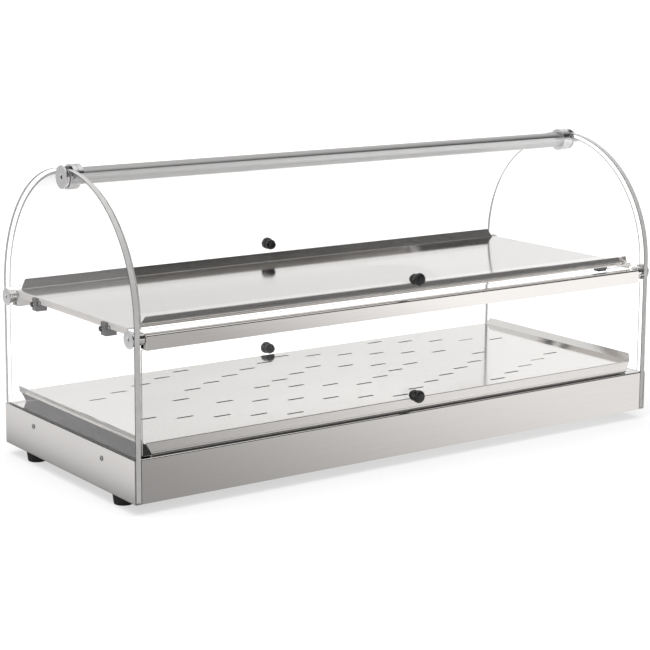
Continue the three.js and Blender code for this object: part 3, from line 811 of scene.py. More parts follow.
def make_surroundings():
    """A white studio behind, above and to the left of the case, and a dark room before it."""
    world = bpy.data.worlds.new("studio")
    world.use_nodes = True
    tree = world.node_tree
    tree.nodes.clear()
    direction = add(tree, "ShaderNodeTexCoord").outputs["Generated"]
    way = add(tree, "ShaderNodeSeparateXYZ", Vector=direction)
    behind = add(
        tree, "ShaderNodeMapRange", {"interpolation_type": "SMOOTHSTEP"},
        Value=way.outputs["Y"], From_Min=-0.45, From_Max=0.45, To_Min=0.06, To_Max=1.06,
    )
    aside = add(
        tree, "ShaderNodeMapRange", Value=way.outputs["X"],
        From_Min=0.40, From_Max=0.72, To_Min=0.80, To_Max=1.02,
    )
    behind = add(
        tree, "ShaderNodeMath", {"operation": "MULTIPLY"},
        in0=behind.outputs[0], in1=aside.outputs[0],
    )
    above = add(
        tree, "ShaderNodeMapRange", {"interpolation_type": "SMOOTHSTEP"},
        Value=way.outputs["Z"], From_Min=0.58, From_Max=0.9, To_Min=0.0, To_Max=1.1,
    )
    left = add(
        tree, "ShaderNodeMapRange", {"interpolation_type": "SMOOTHSTEP"},
        Value=way.outputs["X"], From_Min=0.15, From_Max=-0.45, To_Min=0.0, To_Max=0.72,
    )
    sides = add(
        tree, "ShaderNodeMath", {"operation": "MAXIMUM"},
        in0=behind.outputs[0], in1=left.outputs[0],
    )
    strength = add(
        tree, "ShaderNodeMath", {"operation": "MAXIMUM"},
        in0=sides.outputs[0], in1=above.outputs[0],
    )
    studio = add(tree, "ShaderNodeBackground", Color=(1, 1, 1, 1), Strength=strength.outputs[0])
    white = add(tree, "ShaderNodeBackground", Color=(1, 1, 1, 1), Strength=1.1)
    path = add(tree, "ShaderNodeLightPath")
    # The plain white backdrop is seen directly or through acrylic, and lights nothing.
    unmirrored = add(
        tree, "ShaderNodeMath", {"operation": "LESS_THAN"},
        in0=path.outputs["Glossy Depth"], in1=0.5,
    )
    lights_nothing = add(
        tree, "ShaderNodeMath", {"operation": "MAXIMUM"},
        in0=path.outputs["Is Camera Ray"], in1=path.outputs["Is Transmission Ray"],
    )
    direct = add(
        tree, "ShaderNodeMath", {"operation": "MULTIPLY"},
        in0=unmirrored.outputs[0], in1=lights_nothing.outputs[0],
    )
    both = add(
        tree, "ShaderNodeMixShader", Fac=direct.outputs[0],
        in1=studio.outputs[0], in2=white.outputs[0],
    )
    add(tree, "ShaderNodeOutputWorld", Surface=both.outputs[0])
    bpy.context.scene.world = world


def make_lamp(name, place, target, size, power):
    light = bpy.data.lights.new(name, "AREA")
    light.shape = "RECTANGLE"
    light.size, light.size_y = size
    light.energy = power
    lamp = bpy.data.objects.new(name, light)
    aim = Vector(target) - Vector(place)
    lamp.matrix_world = Matrix.Translation(place) @ aim.to_track_quat("-Z", "Y").to_matrix().to_4x4()
    lamp.visible_glossy = False
    lamp.visible_transmission = False
    bpy.context.scene.collection.objects.link(lamp)


def make_stage():
    make_camera()
    make_floor()
    make_surroundings()
    for lamp in LAMPS:
        make_lamp(*lamp)
    bpy.context.scene.view_settings.view_transform = "Standard"


# ---- base box ----


def make_base_casing():
    low, high = span("base_casing")
    sheet, bend = millimetres("sheet"), millimetres("bend")
    outside = bend + sheet
    front, rear = low.y, high.y
    section = softened([
        (front, low.z), (front, high.z, outside), (rear, high.z, outside), (rear, low.z),
        (rear - sheet, low.z), (rear - sheet, high.z - sheet, bend),
        (front + sheet, high.z - sheet, bend), (front + sheet, low.z),
    ])
    shell = laid(slab(section, low.x, high.x), ALONG_X)
    for node, radius in WALL_BORES:
        centre = middle(node)
        drill = drill_bit(radius, rear - 5, rear + 5)
        shell = combined(shell, facing_y(drill, 1, centre.x, control_height()), "DIFFERENCE")
    window = frame_outline(*span("switch_housing"), 1, 0)
    shell = combined(shell, laid(slab(window, rear - 5, rear + 5), ALONG_Y), "DIFFERENCE")
    finished("base_casing_shell", shell, "case", "polished_steel", ["base_casing"])


def control_height():
    return middle("cable_gland").z


def make_side_plates():
    sheet, bend = millimetres("sheet"), millimetres("bend")
    for end, side in ENDS:
        low, high = span(f"{end}_side_plate")
        lip, out = near_far(low.x, high.x)
        section = softened([
            (out, low.z, bend + sheet), (out, high.z, 0.4), (out - sheet, high.z, 0.4),
            (out - sheet, low.z + sheet, bend), (lip, low.z + sheet), (lip, low.z),
        ])
        shell = laid(slab(section, low.y, high.y), ALONG_Y)
        for where, _ in FACES:
            centre = middle(f"plate_screw_{where}_{end}")
            drill = drill_bit(SCREW_BORE, out - 3, out + 3, 24)
            shell = combined(shell, facing_x(drill, 1, centre.y, centre.z), "DIFFERENCE")
        mirrored(shell, side)
        finished(f"{end}_side_plate_folded", shell, "case", "satin_steel", [f"{end}_side_plate"])


def make_plate_screws():
    """Button-head screws with a hexagon socket."""
    for where, _, end, side in CORNERS:
        node = f"plate_screw_{where}_{end}"
        low, high = span(node)
        centre = (low + high) / 2
        start, out = near_far(low.x, high.x)
        head = out - 1
        profile = softened([
            (0, start), (1.6, start, 0.2), (2, start + 0.5), (2, head), (3.4, head, 0.1),
            (3.3, out - 0.55, 0.4), (2.2, out, 0.4), (1.5, out),
        ], closed=False)
        socket = [(1.5, out, hexagon), (1.45, out - 0.9, hexagon), (0, out - 1.05)]
        screw = turned(profile[:-1] + socket, 36)
        finished(
            f"{node}_socket_head", facing_x(screw, side, centre.y, centre.z),
            "case", "screw_steel", [node],
        )


def make_feet():
    """Bell-shaped rubber feet with a moulded recess underneath."""
    for where, _, end, _ in CORNERS:
        node = f"foot_{where}_{end}"
        low, high = span(node)
        centre = (low + high) / 2
        radius = (high.x - low.x) / 2
        profile = softened([
            (0, low.z + 3), (6, low.z + 3, 0.6), (6.6, low.z, 0.6), (radius - 1.6, low.z, 1.2),
            (radius, high.z - 2, 1.0), (radius, high.z, 0.6), (0, high.z),
        ], closed=False)
        foot = turned(profile, 48)
        foot.transform(Matrix.Translation((centre.x, centre.y, 0)))
        finished(f"{node}_moulded", foot, "case", "foot_rubber", [node])


# ---- controls on the rear ----


def make_thermostat_knob():
    """A fluted knob whose face carries a raised pointer."""
    low, high = span("thermostat_knob")
    centre = (low + high) / 2
    back = low.y
    face = high.y - 0.9
    flutes = bpy.context.scene.case_sizes.flutes
    scallop = fluted(flutes, 0.05)
    profile = [
        (0, back + 8.6), (3.3, back + 8.6), (3.3, back), (11.6, back), (12, back + 0.4),
        (12, back + 1.8), (11.6, back + 2.2), (10.4, back + 2.6), (10.1, back + 3.4, scallop),
        (9.4, face - 1.2, scallop), (9.1, face - 0.5), (8.4, face), (0, face),
    ]
    knob = facing_y(turned(profile, flutes * 8), 1, centre.x, control_height())
    bar = softened([
        (-1.2, -2, 0.5), (1.2, -2, 0.5), (1.2, 7.6, 1.1), (-1.2, 7.6, 1.1),
    ])
    pointer = eased(slab(bar, face - 0.3, high.y), 0.25)
    laid(pointer, ALONG_Y).transform(Matrix.Translation((centre.x, 0, control_height())))
    finished(
        "thermostat_knob_fluted", combined(knob, pointer, "UNION"),
        "thermostat_knob", "black_plastic", ["thermostat_knob"],
    )


def frame_outline(low, high, inset, radius):
    """A rectangle inside a node's outline on the rear wall."""
    left, right = low.x + inset, high.x - inset
    bottom, top = low.z + inset, high.z - inset
    return softened([
        (left, bottom, radius), (right, bottom, radius), (right, top, radius), (left, top, radius),
    ])


# Width of the bezel's rim and depth of the pocket that the rocker sits in.
SWITCH_RIM = 2.3
SWITCH_DEPTH = 9.3


def make_switch():
    """A bezel and pocket of one moulding, with a see-saw rocker in it."""
    low, high = span("switch_housing")
    rim = (high.y - 1.6, high.y)
    bezel = slab(
        frame_outline(low, high, 0, 1.2), *rim, [frame_outline(low, high, SWITCH_RIM, 0.4)],
    )
    eased(bezel, 0.3)
    shell = frame_outline(low, high, 1.3, 0.3)
    floor = rim[1] - SWITCH_DEPTH
    pocket = slab(shell, floor, rim[0], [frame_outline(low, high, SWITCH_RIM, 0.3)])
    block = slab(shell, low.y, floor)
    housing = joined(bezel, pocket, block)
    laid(housing, ALONG_Y)
    finished("switch_bezel", housing, "case", "black_plastic", ["switch_housing"])

    low, high = span("switch_rocker")
    centre = (low + high) / 2
    section = softened([
        (-3.5, 0), (-1, -6.2, 0.4), (4.2, -7.2, 0.6), (3.2, -3.6, 3), (2.8, 0, 3),
        (3.2, 3.6, 3), (4.2, 7.2, 0.6), (-1, 6.2, 0.4),
    ])
    rocker = eased(laid(slab(section, low.x - centre.x, high.x - centre.x), ALONG_X), 0.35)
    pivot = Vector(next(j for j in frame["joints"] if j["name"] == "switch_rock")["pos_m"]) / MM
    rocker.transform(
        Matrix.Translation((centre.x, pivot.y, pivot.z)) @ Matrix.Rotation(math.radians(10), 4, "X")
    )
    finished("switch_rocker_moulded", rocker, "switch_rocker", "black_plastic", ["switch_rocker"])


def make_pilot_lamp():
    """A faceted lens in a rim, with its body behind the wall."""
    low, high = span("pilot_lamp")
    centre = (low + high) / 2
    out = high.y
    facets = fluted(12, 0.06)
    profile = [
        (0, low.y), (3, low.y), (3, low.y + 10), (4.6, low.y + 10), (4.6, out - 5.8),
        (3.5, out - 5.8), (3.5, out - 4), (4.9, out - 4), (5, out - 3.8), (5, out - 3.1),
        (4.8, out - 2.9), (4.1, out - 2.7, facets), (3.2, out - 0.7, facets), (2.4, out - 0.2),
        (1.2, out), (0, out),
    ]
    lamp = facing_y(turned(profile, 72), 1, centre.x, control_height())
    finished("pilot_lamp_lens", lamp, "case", "amber_lens", ["pilot_lamp"])


def make_cable_gland():
    """A hexagon-bodied gland with a fluted dome nut and an empty throat."""
    low, high = span("cable_gland")
    out, back = high.y, low.y
    nut = fluted(12, 0.05)
    profile = [
        (4, back), (6, back), (6, back + 3), (9, back + 3, hexagon), (9, back + 8, hexagon),
        (6, back + 8), (6, out - 11.5), (9.5, out - 11.5, hexagon), (9.5, out - 7.7, hexagon),
        (8.6, out - 7.3), (8.4, out - 7, nut), (8.2, out - 3, nut), (7.6, out - 1.4),
        (6.4, out - 0.3), (5.6, out), (4.4, out), (4, out - 0.5),
    ]
    gland = turned(profile, 96, closed=True)
    finished(
        "cable_gland_dome_nut", facing_y(gland, 1, middle("cable_gland").x, control_height()),
        "case", "black_nylon", ["cable_gland"],
    )


# ---- acrylic ----


def tube_place():
    """(y, z) of the top tube's axis."""
    centre = middle("top_tube")
    return centre.y, centre.z


def arch():
    """Centre height and radius of the arched side panels."""
    radius = span("left_side_panel")[1].y
    _, tube_z = tube_place()
    return tube_z + ARCH_TO_TUBE - radius, radius


def edge_kind(facing):
    """0 for a sheet's face, 2 for an arris and 1 for an edge, by how far it faces as the sheet."""
    if facing > 0.95:
        return 0
    return 2 if facing > 0.2 else 1


def on_outline(face, centre_z, radius, foot):
    """The kind of a side panel's face, with its bores left clear as its faces are."""
    spot = face.calc_center_median()
    reach = math.hypot(spot.y, spot.z - centre_z) if spot.z > centre_z else abs(spot.y)
    outer = reach > radius - 1 or spot.z < foot + 1
    return edge_kind(abs(face.normal.x)) if outer else 0


def make_side_panels():
    """Arched acrylic ends: round notch for the tube bush, bored for hubs, rivets and screws."""
    centre_z, radius = arch()
    _, tube_z = tube_place()
    bush = (span("top_bush_left")[1].y - span("top_bush_left")[0].y) / 2 + GAP
    gap = tube_z - centre_z
    rise = (gap * gap + radius * radius - bush * bush) / (2 * gap)
    half_width = math.sqrt(radius * radius - rise * rise)
    shoulder = math.degrees(math.atan2(rise, half_width))
    lip = math.degrees(math.atan2(rise - gap, half_width))
    for end, _ in ENDS:
        low, high = span(f"{end}_side_panel")
        outline = [
            (low.y, low.z), (high.y, low.z),
            *arc(0, centre_z, radius, 0, shoulder, 64),
            *arc(0, tube_z, bush, lip, -180 - lip, 40)[1:-1],
            *arc(0, centre_z, radius, 180 - shoulder, 180, 64),
        ]
        holes = []
        for where, _ in FACES:
            hub = middle(f"pivot_hub_{where}_{end}")
            screw = middle(f"plate_screw_{where}_{end}")
            holes.append(circle(hub.y, hub.z, HUB_BORE, 40))
            holes.append(circle(screw.y, screw.z, SCREW_BORE, 20))
            holes.append(circle(screw.y, RIVET_HEIGHT, SCREW_BORE, 20))
        panel = laid(slab(outline, low.x, high.x, holes), ALONG_X)
        eased(panel, millimetres("acrylic_edge"))
        finished(
            f"{end}_arched_panel", panel, "case", "clear_acrylic", [f"{end}_side_panel"],
            is_edge=lambda face: on_outline(face, centre_z, radius, low.z),
        )


def door_thickness():
    low, high = span("front_lower_flap")
    return high.y - low.y


def make_upper_doors():
    """Drape-formed acrylic quarter rounds, drilled for the knob."""
    centre_z, _ = arch()
    outer = span("rear_upper_door")[1].y
    inner = outer - door_thickness()
    for where, face in FACES:
        node = f"{where}_upper_door"
        low, high = span(node)
        top_y = min(abs(low.y), abs(high.y))
        top = math.degrees(math.acos(top_y / inner))
        section = [
            (inner, low.z), (outer, low.z),
            *arc(0, centre_z, outer, 0, top, 72),
            *arc(0, centre_z, inner, top, 0, 72),
        ]
        door = eased(laid(slab(section, low.x, high.x, between=(-12, 12)), ALONG_X), 0.25)
        lift = knob_lift()
        drill = facing_y(drill_bit(SCREW_BORE, -8, 5, 24), 1, 0, 0)
        drill.transform(on_door(outer, lift))
        door = mirrored(combined(door, drill, "DIFFERENCE"), 1, face)
        middle_line = Vector((0, 0, centre_z))
        finished(
            f"{where}_door_sheet", door, f"{where}_upper_door", "clear_acrylic", [node],
            is_edge=lambda face: off_radial(face, middle_line, high.z - door_thickness()),
        )


def off_radial(face, middle_line, hinged_edge):
    """The kind of a curved door's face, with the sawn edge along the hinge painted dark as shade."""
    centre = face.calc_center_median()
    spoke = centre - middle_line
    spoke.x = 0
    kind = edge_kind(abs(face.normal.dot(spoke.normalized())))
    # The sawn edge along the hinge takes the arris's painted dark shade.
    return 2 if kind and centre.z > hinged_edge else kind


def knob_lift():
    """Angle of the upper knobs above the door's centre line, in radians."""
    centre_z, _ = arch()
    knob = middle("rear_upper_knob")
    return math.atan2(knob.z - centre_z, knob.y)


def on_door(outer, lift):
    """Where a knob drawn on the rear Y axis sits on the curved door."""
    centre_z, _ = arch()
    return (
        Matrix.Translation((0, 0, centre_z))
        @ Matrix.Rotation(lift, 4, "X")
        @ Matrix.Translation((0, outer, 0))
    )


def make_lower_flaps():
    """Flat acrylic flaps with notched shoulders under the pivots."""
    for where, _ in FACES:
        node = f"{where}_lower_flap"
        low, high = span(node)
        rail = span(f"{where}_mid_rail")[1].x
        shoulder = span("pivot_hub_rear_right")[0].z - SHOULDER_DROP
        outline = softened([
            (low.x, low.z, 1.5), (high.x, low.z, 1.5), (high.x, shoulder, 1.5),
            (rail, shoulder), (rail, high.z), (-rail, high.z), (-rail, shoulder),
            (low.x, shoulder, 1.5),
        ])
        knob = middle(f"{where}_lower_knob")
        flap = slab(outline, low.y, high.y, [circle(0, knob.z, SCREW_BORE, 24)])
        eased(laid(flap, ALONG_Y), 0.25)
        finished(
            f"{where}_flap_sheet", flap, f"{where}_lower_flap", "clear_acrylic", [node],
            is_edge=lambda face: edge_kind(abs(face.normal.y)),
        )


def knob_shape():
    """A waisted knob about Z with its seat at 0, its shank through the sheet and a nut inside."""
    seat = GAP
    nut = -door_thickness() - GAP
    profile = softened([
        (0, nut - 2.4), (4.8, nut - 2.4, 0.5), (5.4, nut - 1.6, 0.4), (5.4, nut, 0.2), (2, nut),
        (2, seat), (7.4, seat, 0.2), (7.4, seat + 2, 0.7), (6.2, seat + 4.2, 1.6),
        (6.5, seat + 6.4, 1.2), (8.3, seat + 8.2, 0.9), (8.5, seat + 12.6, 1.4),
        (7.2, seat + 14.7, 1.6), (4.6, seat + 15.4, 3), (0, seat + 15.4),
    ], closed=False, step=12)
    return turned(profile, 64)


def make_knobs():
    outer = span("rear_upper_door")[1].y
    lift = knob_lift()
    for where, face in FACES:
        upper = facing_y(knob_shape(), 1, 0, 0)
        upper.transform(on_door(outer, lift))
        mirrored(upper, 1, face)
        finished(
            f"{where}_upper_knob_moulded", upper, f"{where}_upper_door", "black_plastic",
            [f"{where}_upper_knob"],
        )
        flap_face = span("rear_lower_flap")[1].y
        height = middle(f"{where}_lower_knob").z
        lower = facing_y(knob_shape(), 1, 0, height)
        lower.transform(Matrix.Translation((0, flap_face, 0)))
        mirrored(lower, 1, face)
        finished(
            f"{where}_lower_knob_moulded", lower, f"{where}_lower_flap", "black_plastic",
            [f"{where}_lower_knob"],
        )


# ---- top tube and its fittings ----


def make_top_tube():
    low, high = span("top_tube")
    radius = (high.y - low.y) / 2
    bore = radius - TUBE_WALL
    profile = [
        (bore, low.x + 0.3), (bore + 0.3, low.x), (radius - 0.3, low.x), (radius, low.x + 0.3),
        (radius, high.x - 0.3), (radius - 0.3, high.x), (bore + 0.3, high.x), (bore, high.x - 0.3),
    ]
    tube = facing_x(turned(profile, 96, closed=True), 1, *tube_place())
    finished(
        "top_tube_drawn", tube, "case", "polished_steel", ["top_tube"], material=DRAWN_TUBE,
    )


def make_top_bushes():
    for end, side in ENDS:
        node = f"top_bush_{end}"
        low, high = span(node)
        start, out = near_far(low.x, high.x)
        radius = (high.y - low.y) / 2
        seat = out - 8
        profile = softened([
            (0, start), (8.2, start, 0.4), (9.2, start + 1), (9.2, seat), (radius, seat, 0.4),
            (radius, out, 0.4), (0, out),
        ], closed=False)
        bush = facing_x(turned(profile, 64), side, *tube_place())
        finished(f"{node}_moulded", bush, "case", "black_nylon", [node])


def make_cap(name, side, hole):
    """A turned cap: domed edge, flat face and a countersunk hole."""
    low, high = span(name)
    back, out = near_far(low.x, high.x)
    radius = (high.y - low.y) / 2
    centre = (low + high) / 2
    profile = softened([
        (hole, back), (radius - 0.3, back, 0.2), (radius, back + 0.4, 0.2), (radius, out - 0.1, 1.1),
        (radius - 2.2, out, 0.6), (hole + 1.2, out, 0.3), (hole, out - 1, 0.2),
    ])
    cap = facing_x(turned(profile, 64, closed=True), side, centre.y, centre.z)
    finished(f"{name}_turned", cap, "case", "chrome_trim", [name])


def make_caps():
    for end, side in ENDS:
        make_cap(f"top_cap_{end}", side, 2.6)
        for where, _ in FACES:
            make_cap(f"pivot_cap_{where}_{end}", side, 2.2)


# A collar's tongue: its thickness, and the angles on the door's curve that it runs between.
TONGUE_THICKNESS = 2.8
TONGUE_TOP = 86
TONGUE_TIP = 79


def make_collars():
    """Hinge rings that turn on the tube, each with a tongue bonded under its door."""
    centre_z, _ = arch()
    tube_y, tube_z = tube_place()
    inner = span("rear_upper_door")[1].y - door_thickness()
    bore = (span("top_tube")[1].y - span("top_tube")[0].y) / 2 + GAP
    for where, face, end, _ in CORNERS:
        node = f"door_collar_{where}_{end}"
        low, high = span(node)
        radius = high.z - tube_z
        ring = slab(circle(tube_y, tube_z, radius, 72), low.x, high.x)
        eased(ring, 0.4)
        under = inner - GAP
        tongue = slab([
            *arc(0, centre_z, under - TONGUE_THICKNESS, TONGUE_TOP, TONGUE_TIP, 8),
            *arc(0, centre_z, under, TONGUE_TIP, TONGUE_TOP, 8),
        ], low.x + 0.2, high.x - 0.2)
        tongue.transform(Matrix.Diagonal((face, 1, 1, 1)))
        hole = slab(circle(tube_y, tube_z, bore, 72), low.x - 1, high.x + 1)
        whole = combined(combined(ring, tongue, "UNION"), hole, "DIFFERENCE")
        laid(whole, ALONG_X)
        finished(
            f"{node}_turned", whole, f"{where}_upper_door", "chrome_trim", [node], smooth=30,
        )


# ---- mid rails and their pivots ----


def make_mid_rails():
    """Rolled bright rails: rounded section, open bore, and a slot that grips the flap."""
    for where, face in FACES:
        node = f"{where}_mid_rail"
        low, high = span(node)
        back, out = near_far(low.y, high.y)
        flap_low, flap_high = span("rear_lower_flap")
        slot_out, slot_in, slot_top = flap_high.y + GAP, flap_low.y - GAP, flap_high.z + GAP
        section = softened([
            (out, low.z, 0.4), (out, high.z, 2.4), (back, high.z, 2.4), (back, low.z, 0.6),
            (slot_in, low.z, 0.2), (slot_in, slot_top), (slot_out, slot_top), (slot_out, low.z, 0.2),
        ])
        bore = softened([
            (back + RAIL_WALL, low.z + RAIL_WALL, 0.5),
            (slot_in - RAIL_WALL, low.z + RAIL_WALL, 0.5),
            (slot_in - RAIL_WALL, high.z - RAIL_WALL, 1.1),
            (back + RAIL_WALL, high.z - RAIL_WALL, 1.1),
        ])
        rail = laid(slab(section, low.x, high.x, [bore]), ALONG_X)
        mirrored(rail, 1, face)
        finished(f"{where}_rail_rolled", rail, f"{where}_lower_flap", "polished_steel", [node])


PIN_LENGTH = 14


def make_pivot_hubs():
    """Turned hubs through the panels, with the pin that the rail swings on."""
    for where, _, end, side in CORNERS:
        node = f"pivot_hub_{where}_{end}"
        low, high = span(node)
        centre = (low + high) / 2
        start, out = near_far(low.x, high.x)
        radius = (high.y - low.y) / 2
        shoulder = start + PIN_LENGTH
        profile = softened([
            (0, start), (2.2, start, 0.3), (2.8, start + 0.8), (2.8, shoulder),
            (radius - 0.9, shoulder, 0.3), (radius, shoulder + 0.9, 0.4),
            (radius, out - 0.3, 0.2), (radius - 0.3, out), (0, out),
        ], closed=False)
        hub = facing_x(turned(profile, 64), side, centre.y, centre.z)
        finished(f"{node}_turned", hub, "case", "polished_steel", [node])


# ---- trays ----


def flange(edge, top, height, lean, length, inset_fold, inset_tip):
    """A bent edge of a tray, drawn along X at the tray's +Y edge.

    Height is above the tray's face when positive and below it when negative. Returns the
    strip and how far in from the edge the flat of the tray ends.
    """
    sheet, bend = millimetres("sheet"), millimetres("bend")
    up = height > 0
    fold = edge if not up else edge - sheet
    radius = bend if up else bend + sheet
    angle = math.atan2(abs(height), lean)
    reach = radius * math.tan(angle / 2)
    path = softened([
        (fold - reach, top), (fold, top, radius), (fold + lean, top + height),
    ], closed=False, step=10)
    path = [(fold - reach, top)] + path[1:] if path[0] != (fold - reach, top) else path
    path = [p for i, p in enumerate(path) if i == 0 or math.dist(p, path[i - 1]) > 1e-4]
    under = []
    for i, (y, z) in enumerate(path):
        before = path[max(i - 1, 0)]
        after = path[min(i + 1, len(path) - 1)]
        way = Vector((after[0] - before[0], after[1] - before[1])).normalized()
        if i == 0:
            way = Vector((1, 0))
        under.append((y + way.y * sheet, z - way.x * sheet))
    lengths = [0]
    for one, two in zip(path, path[1:]):
        lengths.append(lengths[-1] + math.dist(one, two))
    bm = bmesh.new()
    sides = []
    for side in (-1, 1):
        upper = []
        lower = []
        for (y, z), (v, w), run in zip(path, under, lengths):
            inset = inset_fold + (inset_tip - inset_fold) * run / lengths[-1]
            x = side * (length / 2 - inset)
            upper.append(bm.verts.new((x, y, z)))
            lower.append(bm.verts.new((x, v, w)))
        sides.append((upper, lower))
    (left_up, left_low), (right_up, right_low) = sides
    last = len(path) - 1
    for i in range(last):
        bm.faces.new((left_up[i], right_up[i], right_up[i + 1], left_up[i + 1]))
        bm.faces.new((left_low[i], left_low[i + 1], right_low[i + 1], right_low[i]))
        bm.faces.new((left_up[i], left_up[i + 1], left_low[i + 1], left_low[i]))
        bm.faces.new((right_up[i], right_low[i], right_low[i + 1], right_up[i + 1]))
    bm.faces.new((left_up[last], right_up[last], right_low[last], left_low[last]))
    return bm, fold - reach


def tray(half_x, half_y, top, long_edge, short_edge, holes=()):
    """A folded tray: flat plate, front and rear flanges, end flanges, relieved corners.

    Each edge is (height, lean, inset at the fold, inset at the tip).
    """
    sheet = millimetres("sheet")
    strips = []
    flats = []
    for (height, lean, fold, tip), edge, length, turns in (
        (long_edge, half_y, 2 * half_x, (0, 2)),
        (short_edge, half_x, 2 * half_y, (1, 3)),
    ):
        for turn in turns:
            strip, flat = flange(edge, top, height, lean, length, fold, tip)
            strip.transform(Matrix.Rotation(turn * math.pi / 2, 4, "Z"))
            strips.append(strip)
        flats.append((flat, length / 2 - fold))
    (flat_y, run_x), (flat_x, run_y) = flats
    outline = [
        (run_x, -flat_y), (flat_x, -run_y), (flat_x, run_y), (run_x, flat_y),
        (-run_x, flat_y), (-flat_x, run_y), (-flat_x, -run_y), (-run_x, -flat_y),
    ]
    sheet_flat = slab(outline, top - sheet, top, holes)
    fold_walls = [
        f for f in sheet_flat.faces
        if abs(f.normal.z) < 0.5 and (
            all(abs(abs(v.co.x) - flat_x) < 1e-3 for v in f.verts)
            or all(abs(abs(v.co.y) - flat_y) < 1e-3 for v in f.verts)
        )
    ]
    bmesh.ops.delete(sheet_flat, geom=fold_walls, context="FACES_ONLY")
    whole = joined(sheet_flat, *strips)
    bmesh.ops.remove_doubles(whole, verts=whole.verts, dist=0.01)
    return whole


SLOT_PITCH_X = 42.6
SLOT_PITCH_Y = 20.4
# Columns of each row of slots to one side of the middle; the first row is the middle one.
SLOT_COLUMNS = ((3, 6), (2,), (1, 5), (0, 4, 8), (3, 7), (2, 6), (1, 5), (0, 4))


def slot_outlines():
    radius = millimetres("slot_width") / 2
    straight = millimetres("slot_length") / 2 - radius
    found = []
    for row in range(1 - len(SLOT_COLUMNS), len(SLOT_COLUMNS)):
        for column in SLOT_COLUMNS[abs(row)]:
            for mirror in {column, -column}:
                x, y = mirror * SLOT_PITCH_X, row * SLOT_PITCH_Y
                found.append(
                    arc(x + straight, y, radius, -90, 90, 8)
                    + arc(x - straight, y, radius, 90, 270, 8)
                )
    return found


# Each flange is given by its height (down if negative), how far its tip leans out, and how far
# its ends are cut back at the fold and at the tip.
LOWER_LIP = (-15.7, 0.8, 2, 11)
LOWER_RIM = (9.5, 3.6, 3, 9)
UPPER_RIM = (12.4, 3.6, 8, 16)
UPPER_LIP = (-8.5, 0, 1, 4)
LOWER_HALF_DEPTH = 163.5
UPPER_HALF_DEPTH = 151


def tray_surface(which):
    """Height of the tray's upper face, where it is stated as a resting place for food."""
    mounts = {mount["name"]: mount for mount in frame["record"]["mounts"]}
    return mounts[f"{which}_tray_rest"]["pos_m"][2] / MM


def make_trays():
    half_length = span("lower_tray")[1].x - LOWER_RIM[1]
    lower = tray(
        half_length, LOWER_HALF_DEPTH, tray_surface("lower"), LOWER_LIP, LOWER_RIM,
        slot_outlines(),
    )
    finished("lower_tray_folded", lower, "case", "polished_steel", ["lower_tray"], smooth=25)
    half_length = span("upper_tray")[1].x
    upper = tray(half_length, UPPER_HALF_DEPTH, tray_surface("upper"), UPPER_RIM, UPPER_LIP)
    finished("upper_tray_folded", upper, "case", "polished_steel", ["upper_tray"], smooth=25)


def make_tray_brackets():
    """Moulded angles riveted to the panels under the upper tray's ends."""
    for where, _, end, side in CORNERS:
        node = f"tray_bracket_{where}_{end}"
        low, high = span(node)
        centre = (low + high) / 2
        tip, out = near_far(low.x, high.x)
        leg = tip + 15.5
        foot = leg - 1.5
        foot_top = span("upper_tray")[0].z - GAP
        section = softened([
            (leg, low.z, 0.6), (leg, high.z, 0.4), (foot, high.z, 0.5), (foot, foot_top, 1.2),
            (foot - 11, foot_top, 1), (tip, foot_top - 3, 1), (tip, low.z, 1),
        ])
        angle = eased(laid(slab(section, low.y, high.y), ALONG_Y), 0.4)
        rivet = turned(softened([
            (0, foot + 0.2), (2, foot + 0.2), (2, out - 1.6), (3.6, out - 1.6, 0.2),
            (3.3, out - 0.5, 0.6), (2, out, 0.8), (0, out),
        ], closed=False), 32)
        bracket = combined(angle, facing_x(rivet, 1, centre.y, RIVET_HEIGHT), "UNION")
        finished(f"{node}_moulded", mirrored(bracket, side), "case", "black_nylon", [node])


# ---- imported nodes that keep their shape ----

KEPT = {
    "base_pan": "satin_steel",
    "thermostat_body": "satin_steel",
    "heating_mat": "silicone_mat",
    "insulation_board": "mineral_board",
    "terminal_block": "ceramic",
}


def finish_inner_pieces():
    """Folded pan, heater, board and terminals are flat-faced, so only their finish changes."""
    for node, slot in KEPT.items():
        piece = frame["nodes"][node]
        piece.data.materials.clear()
        piece.data.materials.append(FINISHES[slot]())


# ---- operators and panel ----


class CASE_OT_stage(bpy.types.Operator):
    """Set up the camera, the pale floor, the surroundings and the soft lights"""

    bl_idname = "display_case.stage"
    bl_label = "Stage"

    def execute(self, context):
        make_stage()
        return {"FINISHED"}


class CASE_OT_base_casing(bpy.types.Operator):
    """Fold the base casing and cut its bores and switch window"""

    bl_idname = "display_case.base_casing"
    bl_label = "Base casing"

    def execute(self, context):
        make_base_casing()
        return {"FINISHED"}


class CASE_OT_side_plates(bpy.types.Operator):
    """Cut the satin plates at the two ends of the base"""

    bl_idname = "display_case.side_plates"
    bl_label = "Side plates"

    def execute(self, context):
        make_side_plates()
        return {"FINISHED"}


class CASE_OT_plate_screws(bpy.types.Operator):
    """Turn the screws that hold the side plates and panels"""

    bl_idname = "display_case.plate_screws"
    bl_label = "Plate screws"

    def execute(self, context):
        make_plate_screws()
        return {"FINISHED"}


class CASE_OT_feet(bpy.types.Operator):
    """Mould the four rubber feet"""

    bl_idname = "display_case.feet"
    bl_label = "Feet"

    def execute(self, context):
        make_feet()
        return {"FINISHED"}


class CASE_OT_thermostat_knob(bpy.types.Operator):
    """Mould the fluted thermostat knob"""

    bl_idname = "display_case.thermostat_knob"
    bl_label = "Thermostat knob"

    def execute(self, context):
        make_thermostat_knob()
        return {"FINISHED"}


